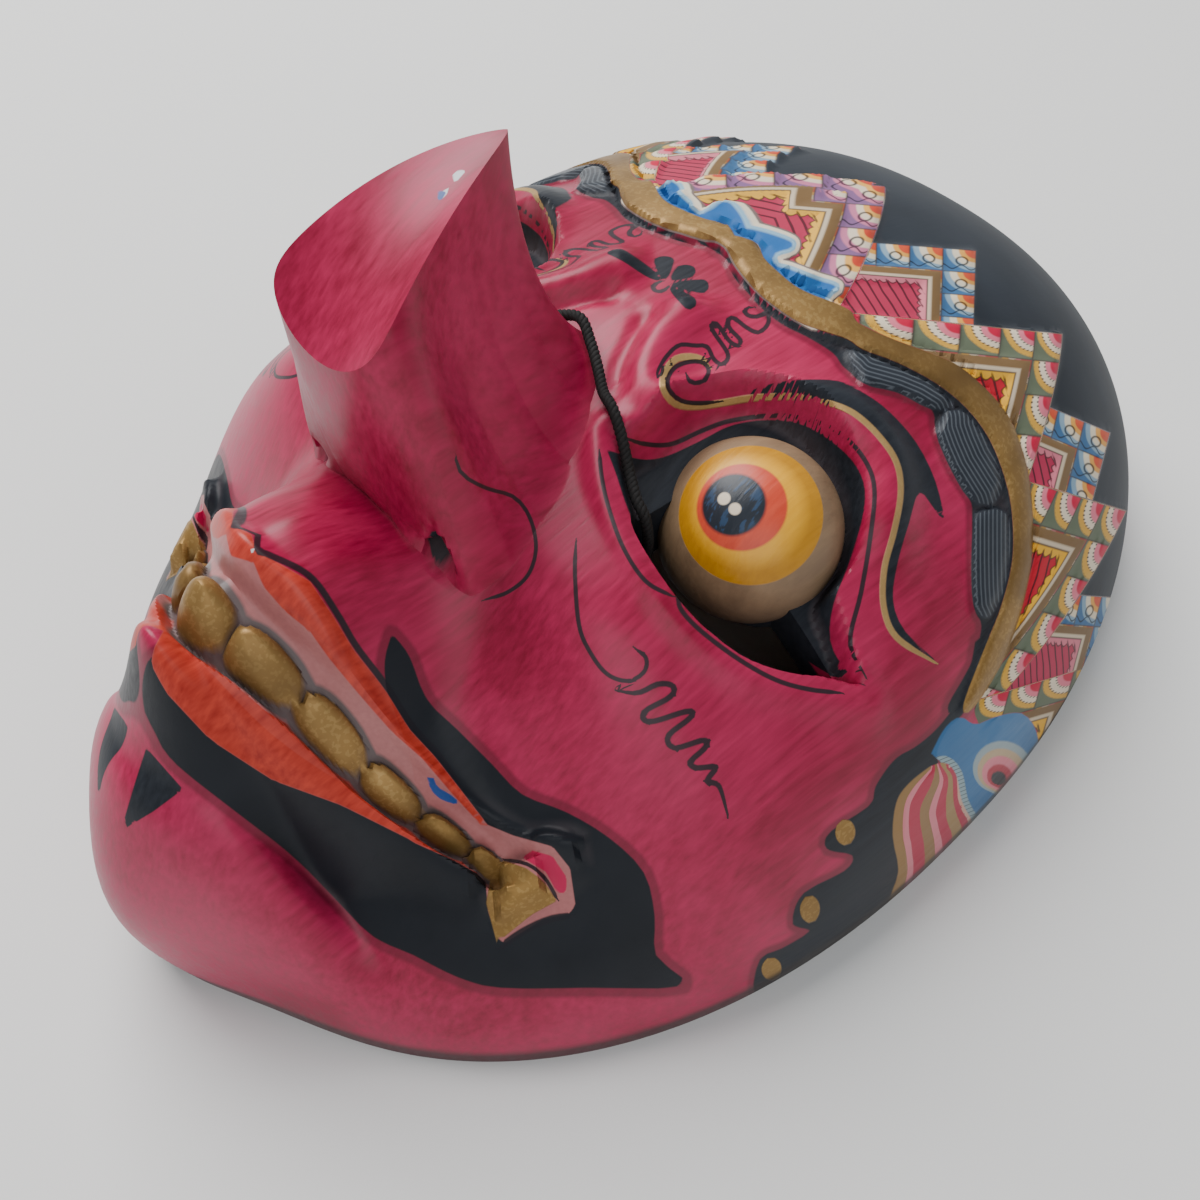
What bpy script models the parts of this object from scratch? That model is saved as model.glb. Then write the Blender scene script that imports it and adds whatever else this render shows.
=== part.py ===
"""A carved wooden dance mask that lies face up, with the cord tied round the bridge of its nose."""
import math

import bmesh
import bpy
import numpy as np
from mathutils import Vector

# Driving sizes, in metres
MASK_LENGTH = 0.204
MASK_WIDTH = 0.142
FACE_DEPTH = 0.070
NOSE_HEIGHT = 0.037
FOREHEAD_WALL = 0.016
RIM_WIDTH = 0.007
EYE_RADIUS = 0.0129
EYE_SLOT = 0.0057
NOSE_HOLLOW = 0.009
CORD_DIAMETER = 0.0016
CORD_GAP = 0.0006
KNOT_LENGTH = 0.0065

# The carving is drawn on a plan of the face, one unit a millimetre on a mask of the sizes above.
# x runs to the side of the face, y from the chin to the crown, and height from the rim to the face.
PLAN_LENGTH = 204
PLAN_WIDTH = 142
PLAN_DEPTH = 70
PLAN_NOSE = 37
X_UNIT = MASK_WIDTH / PLAN_WIDTH
Y_UNIT = MASK_LENGTH / PLAN_LENGTH
Z_UNIT = FACE_DEPTH / PLAN_DEPTH
NOSE_UNIT = NOSE_HEIGHT / PLAN_NOSE
MM = 0.001

# The plan is moved along by this much, so that the middle of the finished mask is over the origin
PLAN_SHIFT = 1.98

# Outline of the rim on the plan: two half ovals that meet at the temples
HALF_WIDTH = 71
CROWN_REACH = 100
CHIN_REACH = 95.5
CROWN_ROUNDNESS = 2.27
CHIN_ROUNDNESS = 2.2
DOME_ROUNDNESS = 2.1

# The nose rises from the middle of the net of lines that the face is carved on
NOSE_Y = -36
NOSE_TIP_Y = -24.2
FACET_LENGTH = 29.5
FACET_HALF_WIDTH = 10
FACET_DROP = 14.9
FACET_HOLLOW = 3

# Eyeball on the plan, the corners of the eye, and the inner and outer ends of the slot below the ball
EYE_X = 30.5
EYE_Y = -10.5
EYE_Z = 53
INNER_CORNER = (14.8, -21.8)
OUTER_CORNER = (56, -13)
SLOT_END = (22.4, -24.8)
SLOT_TIP = (53, -14.6)

# How finely the face is carved before it is thinned to the faces it keeps
LINES_AROUND = 264
FACET_RINGS = 4
WALL_RINGS = 14
FACE_RINGS = 84
HOLLOW_RINGS = 18
MASK_FACES = 8600


def clear_scene():
    """Start from an empty scene."""
    for item in list(bpy.data.objects):
        bpy.data.objects.remove(item, do_unlink=True)


def soft(share):
    """A smooth step from 0 to 1."""
    share = np.clip(share, 0, 1)
    return share * share * (3 - 2 * share)


def bell(distance, width, power=2):
    """A smooth hump that is 1 at no distance."""
    return np.exp(-np.abs(distance / width) ** power)


def smooth_path(points, steps=6):
    """A smooth curve through hand-chosen points."""
    knots = np.array(points, float)
    ends = np.vstack([2 * knots[0] - knots[1], knots, 2 * knots[-1] - knots[-2]])
    curve = []
    for before, start, stop, after in zip(ends, ends[1:], ends[2:], ends[3:]):
        for share in np.arange(steps) / steps:
            pull = (stop - before) * share + (2 * before - 5 * start + 4 * stop - after) * share ** 2
            turn = (3 * start - before - 3 * stop + after) * share ** 3
            curve.append(start + 0.5 * (pull + turn))
    curve.append(knots[-1])
    return np.array(curve)


def off_path(x, y, points, steps=6):
    """Distance from a smooth curve, and how far along it the nearest point is, from 0 to 1."""
    curve = smooth_path(points, steps)
    nearest = np.full(x.shape, 1e9)
    along = np.zeros(x.shape)
    pieces = len(curve) - 1
    for index, (start, stop) in enumerate(zip(curve, curve[1:])):
        run = stop - start
        share = np.clip(((x - start[0]) * run[0] + (y - start[1]) * run[1]) / (run @ run), 0, 1)
        gap = np.hypot(x - start[0] - share * run[0], y - start[1] - share * run[1])
        closer = gap < nearest
        nearest = np.where(closer, gap, nearest)
        along = np.where(closer, (index + share) / pieces, along)
    return nearest, along


def ridge(x, y, points, width, taper=0.1):
    """A rounded ridge along a curve, which fades out over a share of its length at each end."""
    gap, along = off_path(x, y, points)
    return bell(gap, width) * soft(along / taper) * soft((1 - along) / taper)


def within(x, y, corners):
    """How far inside a closed outline a point lies; outside it the distance is negative."""
    nearest = np.full(x.shape, 1e9)
    inside = np.zeros(x.shape, bool)
    for (x0, y0), (x1, y1) in zip(corners, corners[1:] + corners[:1]):
        run_x, run_y = x1 - x0, y1 - y0
        share = np.clip(((x - x0) * run_x + (y - y0) * run_y) / (run_x ** 2 + run_y ** 2), 0, 1)
        nearest = np.minimum(nearest, np.hypot(x - x0 - share * run_x, y - y0 - share * run_y))
        if y0 != y1:
            crosses = (y0 > y) != (y1 > y)
            inside ^= crosses & (x < run_x * (y - y0) / run_y + x0)
    return np.where(inside, nearest, -nearest)


def rim_share(x, y, inset=0.0):
    """0 in the middle of the face and 1 on the outline of the rim."""
    wide = np.abs(x) / (HALF_WIDTH - inset / X_UNIT)
    crown = (wide ** CROWN_ROUNDNESS + np.abs(y / (CROWN_REACH - inset / Y_UNIT)) ** CROWN_ROUNDNESS)
    chin = (wide ** CHIN_ROUNDNESS + np.abs(y / (CHIN_REACH - inset / Y_UNIT)) ** CHIN_ROUNDNESS)
    return np.where(y > 0, crown ** (1 / CROWN_ROUNDNESS), chin ** (1 / CHIN_ROUNDNESS))


def rim_reach(angle, inset=0.0):
    """Distance from the nose to the rim's outline at an angle."""
    near = np.zeros(angle.shape)
    far = np.full(angle.shape, 2.0 * CROWN_REACH)
    for _ in range(40):
        middle = (near + far) / 2
        share = rim_share(middle * np.cos(angle), NOSE_Y + middle * np.sin(angle), inset)
        near = np.where(share < 1, middle, near)
        far = np.where(share < 1, far, middle)
    return near


def jaw_side(x, y):
    """1 on the lean sides of the jaw beside the mouth and 0 elsewhere."""
    return soft((-38 - y) / 22) * soft((np.abs(x) - 6) / 16)


def base_form(x, y):
    """The dome of the face with its muzzle, cheeks and chin."""
    side = np.abs(x)
    share = np.clip(rim_share(x, y), 0, 1)
    chin = bell(side, 22) * soft((-80 - y) / 10)
    jaw = jaw_side(x, y) * (1 - chin)
    height = PLAN_DEPTH * np.sqrt(1 - share ** (DOME_ROUNDNESS + 8.0 * chin - 1.05 * jaw))
    lip_end = -89 + 0.0165 * side ** 2
    muzzle = soft((-45 - y) / 24) * soft((y - lip_end) / (9 - 0.07 * side))
    roof = (4.5 + 6 * soft((-66 - y) / 10)) * bell(side, 9, 1.6)
    height = height + (15 * bell(side, 24, 4) + roof) * muzzle
    height = height + 4 * bell(side, 20) * bell(y + 46, 13)
    height = height + 3.5 * bell(side - 34, 13) * bell(y + 40, 13)
    height = height - 2.5 * bell(side, 18) * bell(y + 88.5, 2.2)
    return height


def mouth_form(x, y):
    """Lips, gums, teeth and fangs."""
    side = np.abs(x)
    teeth_y = -77.6 + 0.4 * np.sqrt(side ** 2 + 16)
    teeth_half = 3.0 - 0.055 * side
    gaps = (4.3, 12.2, 19, 25.8, 32.5)
    between = sum(bell(side - gap, 0.8) for gap in gaps)
    row = soft((37 - side) / 2) * (1 - 0.7 * np.clip(between, 0, 1))
    tooth = np.sqrt(np.clip(1 - ((y - teeth_y) / teeth_half) ** 2, 0, 1)) * row
    opening = soft((teeth_half + 2.4 - np.abs(y - teeth_y - 0.6)) / 1.2) * soft((41 - side) / 4)
    upper = ridge(side, y, [(-3, -68), (3, -67.8), (7, -66.8), (11.5, -66.4), (15, -66.6), (20, -65.6),
                            (26, -63.8), (35, -61), (41, -57), (44, -55)], 1.8, 0.02)
    lower = ridge(side, y, [(-4, -83.3), (4, -82), (9, -79.2), (14, -77), (20, -74.2), (28, -70),
                            (36, -65.5)], 2.6, 0.02)
    fang = soft(within(side, y, [(35.5, -62), (41, -68), (44, -60), (40, -58.5)]) / 1.2)
    corner = ridge(side, y, [(38, -59), (42, -56), (46, -57)], 1.6, 0.2)
    return 3.2 * tooth - 3.4 * opening + 2.4 * upper + 2.8 * lower + 3.4 * fang + 2 * corner


def eye_form(x, y):
    """The sunken floor round each eyeball, the lids and the brow."""
    side = np.abs(x)
    gap = np.hypot(side - EYE_X, y - EYE_Y)
    floor = soft(within(side, y, eye_outline()) / 2.6)
    lid, _ = off_path(side, y, lid_curve())
    lid_roll = bell(lid - 2.2, 1.8) * soft((-y - 8) / 8) * (1 - floor)
    brow = ridge(side, y, [(3, 3), (7, -1), (8.5, -8), (13, -14), (20, -10), (24, -2), (31, 6),
                           (38, 7.5), (44, 2.5), (49, -6)], 3.2)
    fold = ridge(side, y, [(2, -2), (4.5, -7), (8, -14), (13, -18)], 1.6, 0.25)
    return -6 * floor * soft((30 - gap) / 6) + 1.2 * lid_roll + 4 * brow * (1 - floor) - 1.6 * fold


def hair_form(x, y):
    """The headband, the stepped headdress outside it, the locks of hair and the ear ornament."""
    side = np.abs(x)
    band, _ = off_path(side, y, band_curve())
    raised = soft((4.0 - band) / 1.4)
    steps = np.zeros(x.shape)
    for corners, height in headdress_steps():
        steps = np.maximum(steps, height * soft(within(side, y, corners) / 1.1))
    locks = np.zeros(x.shape)
    for centre_x, centre_y, length, width, turn in hair_locks():
        along = (side - centre_x) * math.cos(turn) + (y - centre_y) * math.sin(turn)
        across = (y - centre_y) * math.cos(turn) - (side - centre_x) * math.sin(turn)
        lobe = np.clip(1 - (along / length) ** 2 - (across / width) ** 2, 0, 1)
        locks = np.maximum(locks, np.sqrt(lobe))
    return 1.5 * raised + steps + 1.5 * locks


def round_eye(turn, reach):
    """The point of the plan at a turn, in degrees, and a distance from the middle of the eyeball."""
    return EYE_X + reach * math.cos(math.radians(turn)), EYE_Y + reach * math.sin(math.radians(turn))


def lid_curve():
    """The edge of the lower lid, from the inner to the outer corner of the eye."""
    low = []
    for turn, spread in ((234, 1.0), (253, 1.0), (271, 1.13), (287, 1.3), (300, 1.4), (314, 1.5), (332, 1.6)):
        low.append(round_eye(turn, (EYE_RADIUS + EYE_SLOT * spread) / MM))
    return [INNER_CORNER] + low + [OUTER_CORNER]


def eye_outline():
    """The whole outline of the eye's opening, closed."""
    reach = EYE_RADIUS / MM + 2.6
    top = [round_eye(turn, reach) for turn in range(0, 200, 20)]
    return [tuple(point) for point in smooth_path(lid_curve(), 3)] + top + [(15.6, -17.4)]


def band_curve():
    """Middle of the gold headband."""
    return [(-9, 13.3), (0, 15), (9, 13.3), (20, 15.5), (31, 20.8), (39, 25), (46, 26.3), (52, 24),
            (57, 19), (61, 12), (63.7, 4), (65.3, -5)]


def headdress_steps():
    """Raised outlines of the headdress, pointing outwards from the headband, with their heights."""
    return [([(-22, 17), (22, 17), (13.5, 35), (0, 53.5), (-13.5, 35)], 2.0),
            ([(12, 36), (29, 34), (26, 43), (17.5, 56)], 1.2),
            ([(21, 18), (51.5, 27), (43, 47), (35, 58), (28, 36)], 2.0),
            ([(44, 41), (51, 28), (56, 44), (49, 57)], 1.2),
            ([(51, 26), (66, 14), (64.5, 35), (57.5, 56)], 2.0),
            ([(60, 27), (66, 12), (71, 28), (64.5, 46)], 1.2),
            ([(64, 8), (67, -4), (73, 8), (71, 22)], 1.6)]


def hair_locks():
    """Middle, half length, half width and turn of each lock: three under the headband, then the temple."""
    return [(31, 16.5, 8.5, 3.8, math.radians(28)), (45, 19.5, 7.5, 3.6, math.radians(8)),
            (56, 11.5, 8.5, 3.6, math.radians(-62)), (65.5, -16, 10, 3.4, math.radians(-88)),
            (66, -33, 8, 3.2, math.radians(-86))]


def face_height(x, y):
    """Height of the carved face above the rim, in plan units, without the nose and eyeballs."""
    form = base_form(x, y) + mouth_form(x, y) + eye_form(x, y)
    edge = soft((1 - rim_share(x, y)) / 0.03)
    form = form + hair_form(x, y) * edge
    return np.where(rim_share(x, y) > 0.9999, 0, np.maximum(form, 0))


def nose_base(angle):
    """Distance from the middle of the nose to its foot on the face."""
    degrees = np.degrees(angle)
    marks = [-90, -72, -52, -36, -20, 0, 30, 60, 90]
    reach = [14.6, 15.4, 19.0, 21.0, 20.0, 17.0, 15.5, 18.0, 24.0]
    folded = np.where(np.abs(degrees) > 90, np.sign(degrees) * 180 - degrees, degrees)
    return np.interp(folded, marks, reach)


def nose_edge(angle):
    """The leaf-shaped edge of the nose's flat front, and the middle line that it closes on."""
    share = ((1 - np.sin(angle)) / 2) ** 0.8
    half = FACET_HALF_WIDTH * share ** 0.95 * np.sqrt(np.clip(1 - share ** 22, 0, 1))
    half = half + 1.0 * np.sqrt(np.clip(1 - (2 * share - 1) ** 2, 0, 1))
    y = NOSE_TIP_Y - FACET_LENGTH * share
    middle = PLAN_DEPTH + PLAN_NOSE - FACET_DROP * share ** 2
    edge = middle + FACET_HOLLOW * (half / FACET_HALF_WIDTH) ** 2
    x = half * np.sign(np.round(np.cos(angle), 9))
    return x, y, edge, middle


def line_angles(count):
    """Angles of the net's lines, spread so that they are even both at the nose and along the rim."""
    fine = np.linspace(-math.pi / 2, 3 * math.pi / 2, 2881)
    spread = np.cumsum(rim_reach(fine) + 40)
    spread = (spread - spread[0]) / (spread[-1] - spread[0])
    half = np.interp(np.linspace(0, 0.5, count // 2 + 1), spread, fine)
    return np.concatenate([half, math.pi - half[-2:0:-1]])


def to_metres(x, y, z):
    """Points of the plan at their real size, with the part above the face in nose units."""
    above = np.maximum(z - PLAN_DEPTH, 0)
    height = np.minimum(z, PLAN_DEPTH) * Z_UNIT + above * NOSE_UNIT
    return np.stack([x * X_UNIT, (y + PLAN_SHIFT) * Y_UNIT, height], axis=-1)


def nose_rings(angle):
    """Rings from the middle line of the nose's flat front out to its edge and down to its foot."""
    edge_x, edge_y, edge_z, middle_z = nose_edge(angle)
    reach = nose_base(angle)
    foot_x = reach * np.cos(angle)
    foot_y = NOSE_Y + reach * np.sin(angle)
    foot_z = face_height(foot_x, foot_y)
    folded = np.where(np.cos(angle) < 0, math.pi - angle, angle)
    wing = bell(np.degrees(np.where(folded > math.pi, folded - 2 * math.pi, folded)) + 38, 24)
    rings = []
    for share in np.linspace(0, 1, FACET_RINGS + 1)[:-1]:
        z = middle_z + (edge_z - middle_z) * share ** 2
        rings.append((edge_x * share, edge_y, z))
    for share in np.linspace(1, 0, WALL_RINGS + 1):
        inward = (1 - wing) * (1 - (1 - share) ** 2.0) + wing * share ** 1.35
        rise = (1 - wing) * share ** 1.25 + wing * (1 - (1 - share) ** 1.3)
        x = foot_x + (edge_x - foot_x) * inward
        y = foot_y + (edge_y - foot_y) * inward
        z = foot_z + (edge_z - foot_z) * rise
        nostril = bell(np.abs(x) - 12.3, 3.0) * bell(y + 51.5, 2.5) * bell(z - foot_z - 2.2, 2.2)
        rings.append((x, y + 3.2 * nostril, z))
    return rings


def face_rings(angle):
    """Rings from the foot of the nose out over the face to the rim."""
    near = nose_base(angle)
    far = rim_reach(angle)
    rings = []
    for share in np.linspace(0, 1, FACE_RINGS + 1)[1:]:
        reach = near + (far - near) * (1 - (1 - share) ** 1.7)
        x = reach * np.cos(angle)
        y = NOSE_Y + reach * np.sin(angle)
        z = face_height(x, y) if share < 1 else np.zeros(angle.shape)
        chin = bell(z - 19, 30) * bell(x, 15) * soft((-82 - y) / 9)
        rings.append((x, y - 9.0 * chin, z))
    return rings


def hollow_height(x, y):
    """Height of the hollow above the rim, in plan units, with room behind the nose."""
    inside = np.clip(rim_share(x, y, RIM_WIDTH), 0, 1)
    depth = PLAN_DEPTH - FOREHEAD_WALL / Z_UNIT
    height = depth * np.sqrt(1 - inside ** (2.4 - 0.85 * jaw_side(x, y)))
    return height + NOSE_HOLLOW / Z_UNIT * bell(x, 12) * bell(y + 42, 15) * soft(height / 20)


def hollow_rings(angle):
    """Rings from the inner edge of the rim up to the top of the hollow."""
    far = rim_reach(angle, RIM_WIDTH)
    rings = []
    for share in np.linspace(0, 1, HOLLOW_RINGS + 1)[:-1]:
        reach = far * (1 - share ** 1.6)
        x = reach * np.cos(angle)
        y = NOSE_Y + reach * np.sin(angle)
        z = hollow_height(x, y) if share > 0 else np.zeros(angle.shape)
        rings.append((x, y, z))
    return rings


def carve_mask():
    """The whole mask as one closed net: nose, face, rim and hollow."""
    angle = line_angles(LINES_AROUND)
    rings = nose_rings(angle) + face_rings(angle) + hollow_rings(angle)
    net = bmesh.new()
    rows = []
    for x, y, z in rings:
        rows.append([net.verts.new(point) for point in to_metres(x, y, z)])
    count = len(angle)
    for upper, lower in zip(rows, rows[1:]):
        for index in range(count):
            after = (index + 1) % count
            net.faces.new((upper[index], lower[index], lower[after], upper[after]))
    net.faces.new(rows[-1])
    bmesh.ops.remove_doubles(net, verts=net.verts, dist=0.00001)
    bmesh.ops.dissolve_degenerate(net, edges=net.edges, dist=0.00001)
    bmesh.ops.triangulate(net, faces=net.faces)
    bmesh.ops.recalc_face_normals(net, faces=net.faces)
    return net_object("mask", net)


def net_object(name, net):
    """An object in the scene from a finished net."""
    mesh = bpy.data.meshes.new(name)
    net.to_mesh(mesh)
    net.free()
    item = bpy.data.objects.new(name, mesh)
    bpy.context.collection.objects.link(item)
    return item


def slot_cutter(side):
    """The crescent that is cut through the wall below an eyeball."""
    back = [round_eye(turn, (EYE_RADIUS - 0.0025) / MM) for turn in range(334, 225, -12)]
    outline = list(smooth_path([SLOT_END] + lid_curve()[2:8] + [SLOT_TIP], 4)) + back
    net = bmesh.new()
    low = []
    for x, y in outline:
        low.append(net.verts.new((side * x * X_UNIT, (y + PLAN_SHIFT) * Y_UNIT, FACE_DEPTH * 0.3)))
    base = net.faces.new(low)
    grown = bmesh.ops.extrude_face_region(net, geom=[base])
    top = [item for item in grown["geom"] if isinstance(item, bmesh.types.BMVert)]
    bmesh.ops.translate(net, verts=top, vec=(0, 0, FACE_DEPTH))
    bmesh.ops.recalc_face_normals(net, faces=net.faces)
    cutter = net_object("eye_slot_cutter", net)
    cutter.hide_render = True
    cutter.display_type = 'WIRE'
    return cutter


def eyeball(side):
    """The round eyeball that is left standing in its socket."""
    net = bmesh.new()
    bmesh.ops.create_uvsphere(net, u_segments=30, v_segments=18, radius=EYE_RADIUS)
    place = Vector((side * EYE_X * X_UNIT, (EYE_Y + PLAN_SHIFT) * Y_UNIT, EYE_Z * Z_UNIT))
    bmesh.ops.translate(net, verts=net.verts, vec=place)
    ball = net_object("eyeball_form", net)
    ball.hide_render = True
    ball.display_type = 'WIRE'
    return ball


def apply_modifiers(item):
    """Keep the object's finished mesh and drop its modifiers."""
    bpy.context.view_layer.update()
    graph = bpy.context.evaluated_depsgraph_get()
    mesh = bpy.data.meshes.new_from_object(item.evaluated_get(graph))
    item.modifiers.clear()
    item.data = mesh


def finish_mask(mask):
    """Cut the slots, join the eyeballs and thin the net where the form is plain."""
    for side in (-1, 1):
        for tool, operation in ((slot_cutter(side), 'DIFFERENCE'), (eyeball(side), 'UNION')):
            cut = mask.modifiers.new(tool.name, 'BOOLEAN')
            cut.operation = operation
            cut.object = tool
            cut.solver = 'EXACT'
            apply_modifiers(mask)
            bpy.data.objects.remove(tool, do_unlink=True)
    mask.data.update()
    triangles = sum(len(face.vertices) - 2 for face in mask.data.polygons)
    thin = mask.modifiers.new("thin", 'DECIMATE')
    thin.ratio = MASK_FACES / triangles
    thin.use_collapse_triangulate = True
    apply_modifiers(mask)
    net = bmesh.new()
    net.from_mesh(mask.data)
    for point in net.verts:
        if abs(point.co.z) < 0.00005:
            point.co.z = 0
    net.to_mesh(mask.data)
    net.free()


def wood_above(x, y):
    """The carved surface over a point of the plan, in metres."""
    return to_metres(np.array([x]), np.array([y]), face_height(np.array([x]), np.array([y])))[0]


def wood_behind(x, y):
    """The surface of the hollow under a point of the plan, in metres."""
    return to_metres(np.array([x]), np.array([y]), hollow_height(np.array([x]), np.array([y])))[0]


def cord_route():
    """Route of the cord's middle: over the bridge of the nose, down both slots and across behind it."""
    clear = CORD_DIAMETER / 2 + CORD_GAP
    half = []
    for x, y, lift in ((0, -14, 2.6), (3.5, -15.3, 1.5), (7, -17.2, 0.5), (10.2, -19.2, 0.1),
                       (13.4, -20.6, 0.3), (16.4, -21.8, 1.8), (19.4, -23.2, 2.2)):
        half.append(wood_above(x, y) + (0, 0, 1.2 * clear + lift * Z_UNIT))
    outer = wood_above(*SLOT_END)
    inner = wood_behind(*SLOT_END)
    for along, depth in ((0, 2.9), (1.5, 1.8), (2.2, -0.8)):
        half.append(outer + (along * clear, -0.2 * along * clear, depth * clear))
    half.append((outer + inner) / 2 + (2.0 * clear, -0.4 * clear, 0))
    for along, depth in ((1.9, 0.3), (1.1, -1.0), (-0.5, -1.7)):
        half.append(inner + (along * clear, -0.2 * along * clear, depth * clear))
    for x, y in ((16, -23.5), (9, -22.2)):
        half.append(wood_behind(x, y) - (0, 0, 1.7 * clear))
    last = wood_behind(4, -21.6) - (0, 0, 1.7 * clear)
    half.append(np.array([KNOT_LENGTH / 2 + CORD_GAP, last[1], last[2]]))
    other = [point * (-1, 1, 1) for point in half[:0:-1]]
    return other + half


def cord():
    """The thin black cord, which starts and ends at its knot."""
    points = smooth_path(cord_route(), 2)
    curve = bpy.data.curves.new("bridge_cord", 'CURVE')
    curve.dimensions = '3D'
    curve.bevel_depth = CORD_DIAMETER / 2
    curve.bevel_resolution = 2
    curve.use_fill_caps = True
    run = curve.splines.new('POLY')
    run.points.add(len(points) - 1)
    for target, point in zip(run.points, points):
        target.co = (*point, 1)
    item = bpy.data.objects.new("bridge_cord", curve)
    bpy.context.collection.objects.link(item)
    return item


def knot():
    """The knot between the two ends of the cord, behind the bridge of the nose."""
    route = cord_route()
    middle = Vector((route[0] + route[-1]) / 2)
    net = bmesh.new()
    bmesh.ops.create_uvsphere(net, u_segments=14, v_segments=8, radius=0.5)
    bmesh.ops.scale(net, verts=net.verts, vec=(KNOT_LENGTH, CORD_DIAMETER * 2.2, CORD_DIAMETER * 2))
    bmesh.ops.translate(net, verts=net.verts, vec=middle)
    return net_object("cord_knot", net)


def paint(item, colour, roughness, metallic=0.0):
    """Give a piece its own plain material."""
    material = bpy.data.materials.new(item.name)
    material.use_nodes = True
    shader = material.node_tree.nodes["Principled BSDF"]
    shader.inputs["Base Color"].default_value = (*colour, 1)
    shader.inputs["Roughness"].default_value = roughness
    shader.inputs["Metallic"].default_value = metallic
    item.data.materials.clear()
    item.data.materials.append(material)


def main():
    clear_scene()
    mask = carve_mask()
    finish_mask(mask)
    paint(mask, (0.42, 0.02, 0.07), 0.4)
    paint(cord(), (0.02, 0.02, 0.02), 0.8)
    paint(knot(), (0.02, 0.02, 0.02), 0.8)


main()
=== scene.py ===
"""Looks of a carved wooden dance mask: its fine carving, painted ornament, eyeballs and twisted cord."""
import math

import bmesh
import bpy
import numpy as np
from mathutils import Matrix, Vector


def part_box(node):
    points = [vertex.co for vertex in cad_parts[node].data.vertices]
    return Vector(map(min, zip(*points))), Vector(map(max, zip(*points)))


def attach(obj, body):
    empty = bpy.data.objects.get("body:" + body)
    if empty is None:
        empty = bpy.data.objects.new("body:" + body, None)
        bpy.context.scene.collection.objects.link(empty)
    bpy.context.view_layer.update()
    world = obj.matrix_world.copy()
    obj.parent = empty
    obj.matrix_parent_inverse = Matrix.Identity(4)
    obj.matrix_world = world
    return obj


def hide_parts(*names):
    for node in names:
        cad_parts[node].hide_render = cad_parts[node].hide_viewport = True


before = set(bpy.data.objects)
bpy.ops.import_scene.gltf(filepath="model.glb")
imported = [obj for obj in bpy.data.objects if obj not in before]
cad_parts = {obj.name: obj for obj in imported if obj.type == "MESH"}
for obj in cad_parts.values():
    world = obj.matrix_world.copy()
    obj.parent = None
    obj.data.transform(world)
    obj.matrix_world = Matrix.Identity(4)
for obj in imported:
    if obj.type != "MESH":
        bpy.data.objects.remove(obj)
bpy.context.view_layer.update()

bl_info = {
    "name": "Dance mask",
    "version": (1, 0, 0),
    "blender": (4, 5, 0),
    "location": "3D View > Sidebar > Dance mask",
    "description": "Builds the looks of a carved and painted dance mask",
    "category": "Object",
}

# Sizes of the carving, in metres, and its plan, where one unit is a millimetre
MASK_LENGTH = 0.204
MASK_WIDTH = 0.142
FACE_DEPTH = 0.070
NOSE_HEIGHT = 0.037
FOREHEAD_WALL = 0.016
RIM_WIDTH = 0.007
EYE_RADIUS = 0.0129
EYE_SLOT = 0.0057
NOSE_HOLLOW = 0.009
CORD_DIAMETER = 0.0016
CORD_GAP = 0.0006
KNOT_LENGTH = 0.0065
PLAN_DEPTH = 70
PLAN_NOSE = 37
X_UNIT = MASK_WIDTH / 142
Y_UNIT = MASK_LENGTH / 204
Z_UNIT = FACE_DEPTH / PLAN_DEPTH
NOSE_UNIT = NOSE_HEIGHT / PLAN_NOSE
MM = 0.001
PLAN_SHIFT = 1.98
HALF_WIDTH = 71
CROWN_REACH = 100
CHIN_REACH = 95.5
CROWN_ROUNDNESS = 2.27
CHIN_ROUNDNESS = 2.2
DOME_ROUNDNESS = 2.1
NOSE_Y = -36
NOSE_TIP_Y = -24.2
FACET_LENGTH = 29.5
FACET_HALF_WIDTH = 10
FACET_DROP = 14.9
FACET_HOLLOW = 3
EYE_X = 30.5
EYE_Y = -10.5
EYE_Z = 53
INNER_CORNER = (14.8, -21.8)
OUTER_CORNER = (56, -13)
SLOT_END = (22.4, -24.8)
SLOT_TIP = (53, -14.6)
TOOTH_GAPS = (4.3, 12.2, 19, 25.8, 32.5)

# The painted ornament is drawn as it is seen from the camera, on a square of 1200 units
VIEW_FROM = (0.0992, -0.10082, 0.1924)
VIEW_AZIMUTH = math.radians(47)
VIEW_ELEVATION = math.radians(54)
VIEW_SCALE = 1300.0
DRAWING = 1200.0
LENS = 39
VIEW_RIGHT = np.array((math.cos(VIEW_AZIMUTH), math.sin(VIEW_AZIMUTH), 0))
VIEW_FORWARD = np.array((-math.sin(VIEW_AZIMUTH) * math.cos(VIEW_ELEVATION),
                         math.cos(VIEW_AZIMUTH) * math.cos(VIEW_ELEVATION), -math.sin(VIEW_ELEVATION)))
VIEW_UP = np.cross(VIEW_RIGHT, VIEW_FORWARD)

# Enlarged parts of the drawing that outlines are given in: left edge, top edge and enlargement
SHEETS = {"crown": (620, 120, 3.2), "temple": (820, 300, 2.6), "top": (850, 215, 4.2), "side": (760, 640, 2.6),
          "eye": (590, 370, 2.7), "cheek": (370, 590, 2.3), "mouth": (60, 380, 1.6), "whole": (0, 0, 1)}


# Kinds of surface: new ones that a cut leaves, the face, the nose, and the hollow with the rim
CUT, FACE, NOSE, HOLLOW = 0, 1, 2, 3

# Materials of the mask, in the order of its slots
FACE_PAINT, HEADDRESS_PAINT, BARE_WOOD = 0, 1, 2

# A distance, in drawing units, that is far outside any painted area
OUTSIDE = -40.0


def soft(share):
    """A smooth step from 0 to 1."""
    share = np.clip(share, 0, 1)
    return share * share * (3 - 2 * share)


def bell(distance, width, power=2):
    """A smooth hump that is 1 at no distance."""
    return np.exp(-np.abs(distance / width) ** power)


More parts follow.
